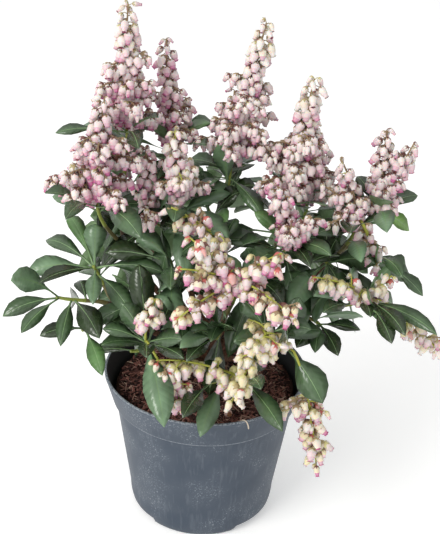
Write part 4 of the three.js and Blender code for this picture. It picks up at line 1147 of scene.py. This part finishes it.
def leaf_faces():
    """The faces of one blade and whether each lies on its upper side, its rib and stalk, or its underside.

    They are triangles, cut from the grid's squares by diagonals that lie above each other on the two sides,
    so that the sides never cross.
    """
    rows, columns = len(LEAF_ROWS), 6
    squares, ends = np.split(closed_faces(rows, columns), [(rows - 1) * columns])
    a, b, c, d = squares.T
    row, column = np.divmod(np.arange(len(a)), columns)
    turned = (column == 2) | (column == 5)
    first = np.where(turned, [a, b, d, d], [a, b, c, c]).T
    second = np.where(turned, [b, c, d, d], [a, c, d, d]).T
    part = np.select([(row < 1) | (column == 1), column >= 3], [SHADE_AT["rib"], SHADE_AT["back"]], 0)
    part = np.concatenate([part, part, np.full(columns, SHADE_AT["rib"]), np.zeros(columns, int)])
    return np.concatenate([first, second, ends]), part


def leaf_material(name, base, rough):
    """Leathery leaf under a waxy cuticle: glossy, faintly mottled 15 mm across, and domed between side veins.

    The veins leave the midrib every 4.6 mm and run forwards: with x along the blade and y across it, the
    surface stands |sin(pi (x - 0.85 |y|) / apart)| high between them, and is paler in the furrows.
    """
    look = Shading(name, base, roughness=rough, specular_ior_level=0.75)
    blade = look.add("ShaderNodeAttribute", attribute_name="blade").outputs["Vector"]
    blade = look.add("ShaderNodeSeparateXYZ", {0: blade}).outputs
    ahead = look.maths("MULTIPLY_ADD", look.maths("ABSOLUTE", blade["Y"]), -VEINS["forward"], blade["X"])
    dome = look.maths("ABSOLUTE", look.maths("SINE", look.maths("MULTIPLY", ahead, math.pi / VEINS["apart"])))
    furrow = look.ramp(dome, 0, 0.3, 0.16, 0)
    amount = look.maths("ADD", look.ramp(look.noise(65, 3), 0.3, 0.7), furrow)
    deep, pale = [[c * k for c in base[:3]] + [1] for k in (0.74, 1.24)]
    look.feed("Base Color", look.mix(amount, deep, pale))
    return look.embossed(look.maths("MULTIPLY_ADD", look.noise(420, 2), 0.5, dome), 0.55, VEINS["relief"])


class PIERIS_OT_leaves(bpy.types.Operator):
    """Grows the leaves in whorls round the shoots' tips."""
    bl_idname = "pieris.leaves"
    bl_label = "Leaves"

    def execute(self, context):
        s = context.scene.pieris_leaf
        grown = []
        for i, (name, plan) in enumerate(MASSES.items()):
            for j, key in enumerate(plan["shoots"]):
                grown += whorl_of(context, name, key, 10 * i + j)
        leaves = {key: np.array([leaf[key] for leaf in grown]) for key in grown[0]}
        draw = np.random.default_rng(5)
        count = len(grown)
        own = leaves["shade"] >= 0
        leaves["fold"] = draw.uniform(*LEAF_SPREAD["fold"], count)
        leaves["twist"] = draw.normal(0, LEAF_SPREAD["turn"], count)
        leaves["twist"] = leaves["twist"] * np.where(own, LEAF_SPREAD["placed_turn"], 1)
        usual = leaves["length"] * s.slimness * draw.uniform(*LEAF_SPREAD["width"], count)
        leaves["width"] = np.where(own, leaves["width"], usual)
        leaves["wave"] = draw.uniform(*LEAF_SPREAD["wave"], count)
        leaves["phase"] = draw.uniform(0, SHORT_TURN, count)
        points, marks = leaf_points(s, leaves)
        keep = self.clear_of_pot(context, points)
        middling = draw.random(count) < LEAF_CHANCE["mid"]
        old = draw.random(count) < LEAF_CHANCE["dark"]
        young = (draw.random(count) < LEAF_CHANCE["young"]) & (leaves["tier"] == 0)
        shade = np.select([young, middling, old], [SHADE_AT[name] for name in ("young", "mid", "dark")],
                          SHADE_AT["light"])
        shade = np.where(own, leaves["shade"], shade)[keep]
        faces, part = leaf_faces()
        finish = np.where(part[None] == 0, shade[:, None], part[None])
        surface = Surface()
        surface.add(with_poles(points[keep]), faces, finish)
        cuticles = [leaf_material(f"leaf_{name}", getattr(s, name), rough)
                    for name, rough in LEAF_SHADES.items()]
        made = surface.piece("leaves", cuticles, "foliage", blade=with_poles(marks[keep]))
        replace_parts(made, *[n for n in NODES if n.startswith("foliage_")])
        return {"FINISHED"}

    def clear_of_pot(self, context, points):
        """False for a leaf that would pass through the pot's wall or the compost."""
        pot, compost = context.scene.pieris_pot, context.scene.pieris_compost
        x, y, z = np.moveaxis(points, -1, 0)
        inwards = pot.rim_radius - np.hypot(x, y)
        in_wall = (inwards < 9 * MM) & (inwards > -1.5 * MM) & (z < pot.height + 1 * MM)
        in_compost = (inwards > 0) & (z < compost.top + 1 * MM)
        return ~np.any(in_wall | in_compost, axis=(1, 2))


# ---------------------------------------------------------------- racemes and flowers

RACEME = dict(radius=1.1 * MM, tip_radius=0.65 * MM, bare_start=5 * MM, fork=1.6 * MM, rise=0.3,
              most_rise=9 * MM)
SIDE_BARE_START = 2 * MM
RACEME_TIER = dict(apart=13 * MM, height=2.6 * MM)
SIDE_RACEME = dict(places=(0.36, 0.64), rise=0.3, bow=0.2, shortening=0.4, droop=0.22, level=0.3, uneven=0.15)
TUFT = dict(first=14 * MM, last=9 * MM, apart=9 * MM, reach=9.5 * MM, lean=0.55, bow=1.5 * MM,
            young_apart=0.35, turn=90, uneven=0.25)
MANY_SIDES = 4
UPPER_SIDES = dict(apart=6.5 * MM, until=0.64, reach=0.66, shortening=0.08)
FINER_SIDES = dict(turn=67, reach=0.74, higher=4 * MM)
STALK_SIDES, STALK_RING_APART = 6, 5 * MM
VIGOROUS_STALK, SIDE_STALK = 1.5, 0.72


def racemes_of(context, spec, seed):
    """The racemes of one panicle, by the solids' rule, with a finer side raceme between each two."""
    plan = MASSES[spec["mass"]]
    shoot_below = shoot_curve(context, plan, plan["shoots"][spec["key"]])
    way, arch = shoot_below.ways[-1], spec["arch"] * MM
    rule, sides = SIDE_RACEME, []

    def main_curve(start, place):
        tip = np.array(place) * MM
        middle = (start + tip) / 2 + UP * arch + unit(tip * [1, 1, 0]) * arch / 2
        rise = min(np.linalg.norm(tip - start) * RACEME["rise"], RACEME["most_rise"])
        return Curve([start, start + way * rise, middle, tip])

    def outwards(distance, turn):
        return unit(square_to(first.way(distance), SIDEWAYS, spec["turn"] + turn) + UP * rule["rise"])

    def add_side(start, far, bow, end):
        sides.append(Curve([start, start + far / 2 + UP * bow, end]))

    first = main_curve(shoot_below.points[-1], spec["tips"][0])
    mains = [first]
    for k, tip in enumerate(spec["tips"][1:]):
        mains.append(main_curve(first.at(RACEME["fork"] * (k + 1)), tip))
    tiers = max(1, round((first.length - RACEME["bare_start"]) / RACEME_TIER["apart"]))
    stretch = RACEME_TIER["apart"] - RACEME_TIER["height"]
    for i in range(spec["sides"]):
        top = first.length - (tiers - 1 - i // 2) * RACEME_TIER["apart"] - RACEME_TIER["height"]
        top = spec["sides_at"][i] * MM if spec["sides_at"] else top
        reach = spec["reach"] * MM * (1 - rule["shortening"] * i / spec["sides"])
        reach = reach * vary(rule["uneven"], seed, i)
        for finer in (0, 1):
            start = first.at(top - stretch * rule["places"][(i + 1) % 2] + finer * FINER_SIDES["higher"])
            out = outwards(first.length * rule["level"], GOLDEN_ANGLE * i + finer * FINER_SIDES["turn"])
            far = out * reach * (FINER_SIDES["reach"] if finer else 1)
            add_side(start, far, reach * rule["bow"], start + far - UP * reach * rule["droop"])
    crowded = spec["sides"] >= MANY_SIDES
    if crowded:
        lowest = first.length - (tiers - spec["sides"] / 2) * RACEME_TIER["apart"]
        upper = np.arange(lowest, UPPER_SIDES["until"] * first.length, UPPER_SIDES["apart"])
        for i, distance in enumerate(upper):
            start = first.at(distance)
            reach = spec["reach"] * MM * (UPPER_SIDES["reach"] - UPPER_SIDES["shortening"] * i)
            far = outwards(distance, GOLDEN_ANGLE * (i + 0.5)) * reach
            add_side(start, far, reach * rule["bow"], start + (far - UP * reach * rule["droop"]))
    bare = spec["bare"] or [0] * len(mains)
    apart = TUFT["apart"] * spec["apart"] * (1 + TUFT["young_apart"] * spec["young"])
    for k, curve in enumerate(mains):
        if k == 0 and crowded:
            continue
        places = np.arange(max(TUFT["first"], bare[k] * MM), curve.length - TUFT["last"], apart)
        for i, distance in enumerate(places):
            start, axis = curve.at(distance), curve.way(distance)
            turn = GOLDEN_ANGLE * i + TUFT["turn"] * k
            out = unit(square_to(axis, curve.across(), turn) + axis * TUFT["lean"])
            far = out * TUFT["reach"] * vary(TUFT["uneven"], seed + k, 50 + i)
            add_side(start, far, TUFT["bow"], start + far)
    return mains, sides


class PIERIS_OT_racemes(bpy.types.Operator):
    """Grows the stems of the blossom: each panicle's main racemes and the side racemes on them."""
    bl_idname = "pieris.racemes"
    bl_label = "Racemes"

    def execute(self, context):
        s = context.scene.pieris_blossom
        surface = Surface()
        for seed, spec in enumerate(PANICLES.values()):
            mains, sides = racemes_of(context, spec, seed)
            for k, curve in enumerate([*mains, *sides]):
                t = np.linspace(0, 1, max(5, int(curve.length / STALK_RING_APART)))
                vigorous, main = k in spec["green"], k < len(mains)
                thin = VIGOROUS_STALK if vigorous else 1.0 if main else SIDE_STALK
                radius = (RACEME["radius"] + (RACEME["tip_radius"] - RACEME["radius"]) * t) * thin
                young = main and spec["young"] > 0
                shade = int(chance(seed, 70 + k) > spec["red"] or young or vigorous)
                surface.limb(curve, t * curve.length, radius, STALK_SIDES, shade)
        stalks = [plain("red_raceme_stalk", blend_of(s.red, s.green, 0.25), roughness=0.55),
                  plain("green_raceme_stalk", s.stalk, roughness=0.5)]
        surface.piece("raceme_stalks", stalks, "blossom")
        return {"FINISHED"}


FLOWER_SPREAD = dict(size=(0.86, 1.12), pedicel=(0.7, 1.15), swing=(0.15, 0.75), waver=0.16)
YOUNG_FLOWER = dict(size=0.18, apart=0.6, level=0.8, down=0.2)
LEVEL_RACEME = dict(always=0.15, down=0.7)
TIP_BUD = dict(over=9 * MM, least=0.74, growth=0.7, ahead=0.9, pedicel=0.75, down=0.55, down_more=0.45)
GREEN_END = dict(over=60, closer=0.25, size=0.14, pedicel=0.45, pink=0.75, cream=0.7, red=0.7)


def flowers_of_raceme(s, curve, spec, bare_start, draw):
    """Flowers at the golden angle along a raceme, as arrays: each springs from its root, hangs from its
    base = root + out * pedicel, and points down and a little outwards; those near the tip are smaller buds.
    On a level raceme they leave it sideways, so that they hang from it in rows."""
    young, end = spec["young"], GREEN_END
    apart = s.spacing * spec["apart"] * (1 + YOUNG_FLOWER["apart"] * young)
    apart = apart * (1 - end["closer"] * (spec["top"] > 0))
    distances = np.arange(bare_start, curve.length + apart / 2, apart)
    count = len(distances)
    axis = curve.way(distances)
    turn = GOLDEN_ANGLE * np.arange(count) + draw.uniform(0, 360)
    out = square_to(axis, curve.across()[None], turn)
    level = 1 - np.abs(axis[:, 2:])
    tip = np.clip((curve.length - distances) / TIP_BUD["over"], 0, 1)[:, None]
    flat = out * (1 - level * [0, 0, YOUNG_FLOWER["level"] * young])
    down = LEVEL_RACEME["always"] + (LEVEL_RACEME["down"] - YOUNG_FLOWER["down"] * young) * level
    out = unit(flat - UP * down + axis * TIP_BUD["ahead"] * (1 - tip))
    size = TIP_BUD["least"] + (1 - TIP_BUD["least"]) * tip[:, 0] ** TIP_BUD["growth"]
    size = size * draw.uniform(*FLOWER_SPREAD["size"], count) * (1 + YOUNG_FLOWER["size"] * young)
    root = curve.at(distances)
    height = root[:, 2] / MM - spec["tips"][0][2]
    greener = spec["top"] * np.clip((height + end["over"]) / end["over"], 0, 1)
    size *= 1 + end["size"] * greener
    reach = s.pedicel * size * draw.uniform(*FLOWER_SPREAD["pedicel"], count)
    reach = reach * (TIP_BUD["pedicel"] + (1 - TIP_BUD["pedicel"]) * tip[:, 0])
    reach = reach * (1 + end["pedicel"] * greener)
    swing = out * [1, 1, 0.3] * draw.uniform(*FLOWER_SPREAD["swing"], (count, 1))
    waver = draw.normal(0, FLOWER_SPREAD["waver"], (count, 3))
    hang = unit(-UP * (TIP_BUD["down"] + TIP_BUD["down_more"] * tip) + swing + waver)
    return dict(root=root, base=root + out * reach[:, None], hang=hang, size=size,
                t=distances / curve.length, tip=tip[:, 0], young=np.full(count, young),
                pink=spec["pink"] * (1 - end["pink"] * greener),
                cream=spec["cream"] + (end["cream"] - spec["cream"]) * greener,
                red=spec["red"] * (1 - end["red"] * greener))


FLOWER_SIDES = 10
FLOWER_RINGS = [(0.04, 0.6, 0.6), (0.27, 1.0, 0.97), (0.63, 0.83, 0.78), (0.88, 0.52, 0.48), (1.0, 0.68, 0.5)]
FLOWER_POLES = (0.0, 0.8)
SEPAL_RINGS = np.array([(0.01, 0.42, 0.42), (0.08, 0.72, 0.6), (0.17, 0.98, 0.5)])
YOUNG_SEPAL_RINGS = np.array([(0.0, 0.45, 0.45), (0.1, 0.82, 0.72), (0.27, 1.06, 0.6)])
SEPAL_POLES = (-0.07, 0.1)
PEDICEL_RADIUS = 0.42 * MM
PETAL_BANDS = np.array([0.0, 0.1, 0.5, 1.0, 1.3])
PETAL_SHADES, CREAM_SHADES, SEPAL_SHADES = 7, 3, 5
CORAL_SHADES = 2
CORAL = PETAL_SHADES + CREAM_SHADES
THROAT = CORAL + CORAL_SHADES


def turned_shape(base, axis, across, length, girth, profile, poles):
    """Copies of a turned shape: at profile (t, even, odd) a ring lies length t along the axis, and its
    points lie girth even and girth odd from it in turn; poles are the places t of the two ends. A profile is
    one for all copies, or (copies, rings, 3)."""
    profile = np.broadcast_to(profile, (len(base), *np.shape(profile)[-2:]))
    degrees = np.linspace(0, 360, FLOWER_SIDES, endpoint=False)[None]
    out = square_to(axis[:, None], across[:, None], np.repeat(degrees, len(base), axis=0))
    rings = []
    for t, even, odd in np.moveaxis(profile, 0, -1):
        reach = np.where(np.arange(FLOWER_SIDES) % 2 == 0, even[:, None], odd[:, None]) * girth[:, None]
        rings.append(base[:, None] + axis[:, None] * (length * t)[:, None, None] + out * reach[..., None])
    ends = [base + axis * (length * t)[:, None] for t in poles]
    points = np.concatenate([*rings, np.stack(ends, axis=1)], axis=1)
    rows = profile.shape[1]
    count = rows * FLOWER_SIDES
    faces = np.concatenate([fan(0, FLOWER_SIDES, count, True), lattice(rows, FLOWER_SIDES),
                            fan(count - FLOWER_SIDES, FLOWER_SIDES, count + 1, False)])
    return points, faces


def pedicels(flowers, radius):
    """Three-sided stalks from root to base, which leave the raceme outwards and bend down to the flower."""
    root, base, hang = flowers["root"], flowers["base"], flowers["hang"]
    span = base - root
    middle = root + span * 0.6 - hang * np.linalg.norm(span, axis=-1, keepdims=True) * 0.18
    centre = np.stack([root, middle, base], axis=1)
    way = np.stack([unit(middle - root), unit(span), hang], axis=1)[:, :, None]
    side = square_to(way, (SIDEWAYS + 0.3 * UP)[None, None, None], np.array([0.0, 120.0, 240.0])[None, None])
    faces = np.concatenate([lattice(3, 3), [[0, 2, 1, 1], [6, 7, 8, 8]]])
    return (centre[:, :, None] + side * radius).reshape(len(root), -1, 3), faces


def petal_materials(s):
    """Waxy petals: soft white at the shoulder, pinker to the mouth, and cream where the bud is young."""
    shades = [("waxy_petal", s.white, s.pink, np.arange(PETAL_SHADES) / (PETAL_SHADES - 1)),
              ("cream_petal", s.white, s.cream, (np.arange(CREAM_SHADES) + 1) / CREAM_SHADES),
              ("coral_bud", s.coral, s.white, 0.4 + 0.2 * np.arange(CORAL_SHADES))]
    named = [(f"{name}_{i + 1}", blend_of(a, b, t))
             for name, a, b, amounts in shades for i, t in enumerate(amounts)]
    # The throat closes each bell inside its mouth and is painted dark pink-brown: painted shade in the
    # hollow.
    named += [("flower_throat", blend_of(s.pink, s.red, 0.6))]
    waxy = dict(roughness=0.42, specular_ior_level=0.4, subsurface_weight=0.25, subsurface_scale=1.5 * MM)
    return [plain(name, base, **waxy) for name, base in named]


REGIONS = ["left", "middle", "right", "front", "back"]
REGION_EDGES = dict(front=-60, back=55, left=-20, right=55)
FALLEN = dict(mouth=[21, -59, 125], way=[0.15, -0.85, 0.45])
PINK_SPREAD = dict(along=0.18, random=0.17)
CREAM_DEPTH = dict(often=0.4, deep=0.7, low=0.4, young=0.65)
TIP_GIRTH = dict(start=0.8, over=0.2, less=0.3)
BLUSH = dict(until=0.7, least=0.05, red=0.65, coral_until=0.3, coral=0.6)


def region_of(spec):
    """Which piece a panicle's flowers are joined into, by where its first tip lies."""
    x, y, _ = spec["tips"][0]
    edge = REGION_EDGES
    if y < edge["front"] or y > edge["back"]:
        return "front" if y < edge["front"] else "back"
    return "left" if x < edge["left"] else "right" if x > edge["right"] else "middle"


class PIERIS_OT_flowers(bpy.types.Operator):
    """Hangs the flowers on the racemes: small urns, each on a pedicel and under a star of sepals."""
    bl_idname = "pieris.flowers"
    bl_label = "Flowers"

    def execute(self, context):
        s = context.scene.pieris_blossom
        draw = np.random.default_rng(17)
        grown = {region: [] for region in REGIONS}
        for seed, spec in enumerate(PANICLES.values()):
            mains, sides = racemes_of(context, spec, seed)
            starts = [mm * MM for mm in spec["bare"]] or [RACEME["bare_start"]] * len(mains)
            starts += [SIDE_BARE_START] * len(sides)
            grown[region_of(spec)] += [flowers_of_raceme(s, curve, spec, start, draw)
                                       for curve, start in zip([*mains, *sides], starts)]
        petals = petal_materials(s)
        sepals = [plain(f"sepal_{i + 1}", blend_of(s.green, s.red, i / (SEPAL_SHADES - 1)), roughness=0.5)
                  for i in range(SEPAL_SHADES)]
        sepals += [plain("coral_sepal", s.coral, roughness=0.5)]
        panicles = [n for n in NODES if n.startswith("panicle_")]
        calyx, stalks = Surface(), Surface()
        for region, groups in grown.items():
            flowers = {key: np.concatenate([group[key] for group in groups]) for key in groups[0]}
            surface = Surface()
            self.bells(s, surface, calyx, stalks, flowers, draw)
            made = surface.piece(f"flowers_{region}", petals, "blossom")
            mine = [f"panicle_{name}" for name, spec in PANICLES.items() if region_of(spec) == region]
            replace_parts(made, *[n for n in mine if n in panicles])
        calyx.piece("sepals", sepals, "blossom")
        stalks.piece("pedicels", sepals, "blossom")
        self.fallen(s)
        return {"FINISHED"}

    def bells(self, s, surface, calyx, stalks, flowers, draw):
        """Adds the petals, the sepals and the pedicels of the given flowers to the three surfaces."""
        base, hang, size, young = [flowers[key] for key in ("base", "hang", "size", "young")]
        count = len(size)
        bud = 1 - TIP_GIRTH["less"] * np.clip((flowers["t"] - TIP_GIRTH["start"]) / TIP_GIRTH["over"], 0, 1)
        length = s.flower * size * draw.uniform(0.94, 1.06, count)
        girth = s.girth * size * bud * draw.uniform(0.92, 1.08, count)
        across = unit(draw.normal(0, 1, (count, 3)))
        pink = flowers["pink"] + PINK_SPREAD["along"] * (0.5 - flowers["t"])
        pink = pink + draw.normal(0, PINK_SPREAD["random"], count)
        shade = pink[:, None] * PETAL_BANDS[None] * PETAL_SHADES + draw.uniform(-0.3, 0.3, (count, 1))
        shade = np.clip(np.round(shade), 0, PETAL_SHADES - 1).astype(int)
        creamy = draw.random(count) < flowers["cream"]
        depth = np.where(draw.random(count) < CREAM_DEPTH["often"], CREAM_DEPTH["deep"], CREAM_DEPTH["low"])
        depth = depth + CREAM_DEPTH["young"] * young
        cream = np.floor(draw.random((count, 1)) * (1 + (CREAM_SHADES - 1) * young[:, None])).astype(int)
        shade = np.where(creamy[:, None] & (PETAL_BANDS[None] < depth[:, None]), PETAL_SHADES + cream, shade)
        likely = young * (BLUSH["least"] + BLUSH["red"] * flowers["red"])
        blush = (flowers["tip"] < BLUSH["until"]) & (draw.random(count) < likely)
        coral = blush & (flowers["tip"] < BLUSH["coral_until"]) & (draw.random(count) < BLUSH["coral"])
        shade = np.where(coral[:, None], CORAL + draw.integers(0, CORAL_SHADES, (count, 1)), shade)
        shade = np.concatenate([shade, np.full((count, 1), THROAT)], axis=1)
        points, faces = turned_shape(base, hang, across, length, girth, FLOWER_RINGS, FLOWER_POLES)
        surface.add(points, faces, np.repeat(shade, FLOWER_SIDES, axis=1))

        shift = base - hang * (0.02 * length)[:, None]
        rings = SEPAL_RINGS + (YOUNG_SEPAL_RINGS - SEPAL_RINGS) * young[:, None, None]
        top = SEPAL_SHADES - 1
        tint = np.clip(np.round(top * flowers["red"] + draw.normal(0, 0.9, count)), 0, top).astype(int)
        tint = np.where(blush, SEPAL_SHADES, tint)[:, None]
        calyx.add(*turned_shape(shift, hang, across, length, girth, rings, SEPAL_POLES), tint)
        stalks.add(*pedicels(flowers, PEDICEL_RADIUS), tint)

    def fallen(self, s):
        """One flower has fallen: it lies withered on the compost, with its mouth to the front."""
        way = unit(np.array([FALLEN["way"]]))
        base = np.array([FALLEN["mouth"]]) * MM - way * s.flower
        points, faces = turned_shape(base, way, SIDEWAYS[None], np.array([s.flower]), np.array([s.girth]),
                                     FLOWER_RINGS, FLOWER_POLES)
        throat = np.arange(len(faces)) >= len(faces) - FLOWER_SIDES
        surface = Surface()
        surface.add(points, faces, throat.astype(int))
        # The throat is browner and darker than the petals: partly withering, partly painted shade inside the
        # mouth.
        shades = [plain("withered_petal", linear("#ecc6ba"), roughness=0.7),
                  plain("withered_throat", linear("#b9805f"), roughness=0.8)]
        surface.piece("fallen_flower", shades, "blossom")


# ---------------------------------------------------------------- stage

CAMERA_PLACE = (0.0084, -0.750, 0.5986)
CAMERA_DOWN, CAMERA_ROLL = 26.4, 2.49
SENSOR_WIDTH = 36
LENS_PER_HEIGHT = 1041 / 534
FLOOR_RADIUS, FLOOR_HEART, FLOOR_RINGS, FLOOR_SEGMENTS = 4.0, 0.2, 9, 72
LIT_HEART = np.array([0.0, 0.0, 0.22])


def aimed(name, data, place, axes):
    """Puts a light or a camera at a place, with its own X, Y and Z axes along the given ones."""
    holder = place_in_scene(name, data)
    holder.matrix_world = Matrix.Translation(place) @ Matrix(np.stack(axes, axis=1).tolist()).to_4x4()
    return holder


def area_light(name, place, size, power, tint):
    light = bpy.data.lights.new(name, "AREA")
    light.shape, light.size, light.energy, light.color = "DISK", size, power, linear(tint)[:3]
    back = unit(np.array(place, float) - LIT_HEART)
    side = unit(np.cross(UP, back))
    aimed(name, light, place, [side, np.cross(back, side), back])


class PIERIS_OT_stage(bpy.types.Operator):
    """Sets the pale floor, the soft lights and the camera."""
    bl_idname = "pieris.stage"
    bl_label = "Stage"

    def execute(self, context):
        s = context.scene.pieris_stage
        scene = context.scene
        paper, shader = finish_of("matt_studio_paper", s.floor, roughness=0.95, specular_ior_level=0.1)
        shader.inputs["Emission Color"].default_value = (1, 1, 1, 1)
        shader.inputs["Emission Strength"].default_value = s.glow
        radii = np.linspace(FLOOR_RADIUS, FLOOR_HEART, FLOOR_RINGS)
        rings = revolved(np.column_stack([radii, 0 * radii]), FLOOR_SEGMENTS).reshape(-1, 3)
        middle = fan(len(rings) - FLOOR_SEGMENTS, FLOOR_SEGMENTS, len(rings), False)
        faces = np.concatenate([lattice(FLOOR_RINGS, FLOOR_SEGMENTS), middle])
        mesh = mesh_of("floor", np.concatenate([rings, [[0, 0, 0]]]), faces, [paper])
        floor = place_in_scene("floor", mesh)

        scene.world = self.studio(s)
        area_light("key", (-1.25, -1.35, 1.5), 1.3, s.key_power, "#fffdfa")
        area_light("fill", (1.5, -0.9, 1.0), 1.5, s.fill_power, "#eef3ff")

        camera = bpy.data.cameras.new("camera")
        camera.sensor_fit, camera.sensor_width = "AUTO", SENSOR_WIDTH
        camera.lens = SENSOR_WIDTH * LENS_PER_HEIGHT
        camera.clip_start, camera.clip_end = 0.05, 50
        down, roll = math.radians(CAMERA_DOWN), math.radians(CAMERA_ROLL)
        ahead = np.array([0, math.cos(down), -math.sin(down)])
        level_up = np.cross(SIDEWAYS, ahead)
        right = SIDEWAYS * math.cos(roll) + level_up * math.sin(roll)
        up = level_up * math.cos(roll) - SIDEWAYS * math.sin(roll)
        scene.camera = aimed("camera", camera, CAMERA_PLACE, [right, up, -ahead])
        scene.view_settings.view_transform = "Standard"
        return {"FINISHED"}

    def studio(self, s):
        """Even light from all round that falls off a little to the right."""
        world = bpy.data.worlds.new("studio")
        world.use_nodes = True
        background = world.node_tree.nodes["Background"]
        background.inputs["Color"].default_value = (1, 1, 1, 1)
        aim = node(world, "ShaderNodeTexCoord").outputs["Generated"]
        across = node(world, "ShaderNodeSeparateXYZ", {0: aim}).outputs["X"]
        fall = {0: across, 1: -1, 2: 1, 3: s.sky, 4: s.far_sky}
        strength = node(world, "ShaderNodeMapRange", fall).outputs[0]
        world.node_tree.links.new(strength, background.inputs["Strength"])
        return world


# ---------------------------------------------------------------- panel and order of work

SETTINGS = {
    "pieris_pot": PotSettings,
    "pieris_compost": CompostSettings,
    "pieris_bark": BarkSettings,
    "pieris_leaf": LeafSettings,
    "pieris_blossom": BlossomSettings,
    "pieris_stage": StageSettings,
}
OPERATORS = [
    PIERIS_OT_pot, PIERIS_OT_compost, PIERIS_OT_bark, PIERIS_OT_shoots,
    PIERIS_OT_leaves, PIERIS_OT_racemes, PIERIS_OT_flowers, PIERIS_OT_stage,
]


class PIERIS_PT_panel(bpy.types.Panel):
    """Lists the plant's pieces in the order in which they are made, and their settings."""
    bl_label = "Potted Pieris"
    bl_space_type = "VIEW_3D"
    bl_region_type = "UI"
    bl_category = "Pieris"

    def draw(self, context):
        for operator in OPERATORS:
            self.layout.operator(operator.bl_idname)
        for name, kind in SETTINGS.items():
            box = self.layout.box()
            for key in kind.__annotations__:
                box.prop(getattr(context.scene, name), key)


def register():
    for kind in [*SETTINGS.values(), *OPERATORS, PIERIS_PT_panel]:
        bpy.utils.register_class(kind)
    for name, kind in SETTINGS.items():
        setattr(bpy.types.Scene, name, bpy.props.PointerProperty(type=kind))


def unregister():
    for name in SETTINGS:
        delattr(bpy.types.Scene, name)
    for kind in reversed([*SETTINGS.values(), *OPERATORS, PIERIS_PT_panel]):
        bpy.utils.unregister_class(kind)


def main():
    register()
    bpy.ops.pieris.pot()
    bpy.ops.pieris.compost()
    bpy.ops.pieris.bark()
    bpy.ops.pieris.shoots()
    bpy.ops.pieris.leaves()
    bpy.ops.pieris.racemes()
    bpy.ops.pieris.flowers()
    bpy.ops.pieris.stage()
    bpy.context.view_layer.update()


if __name__ == "__main__":
    main()
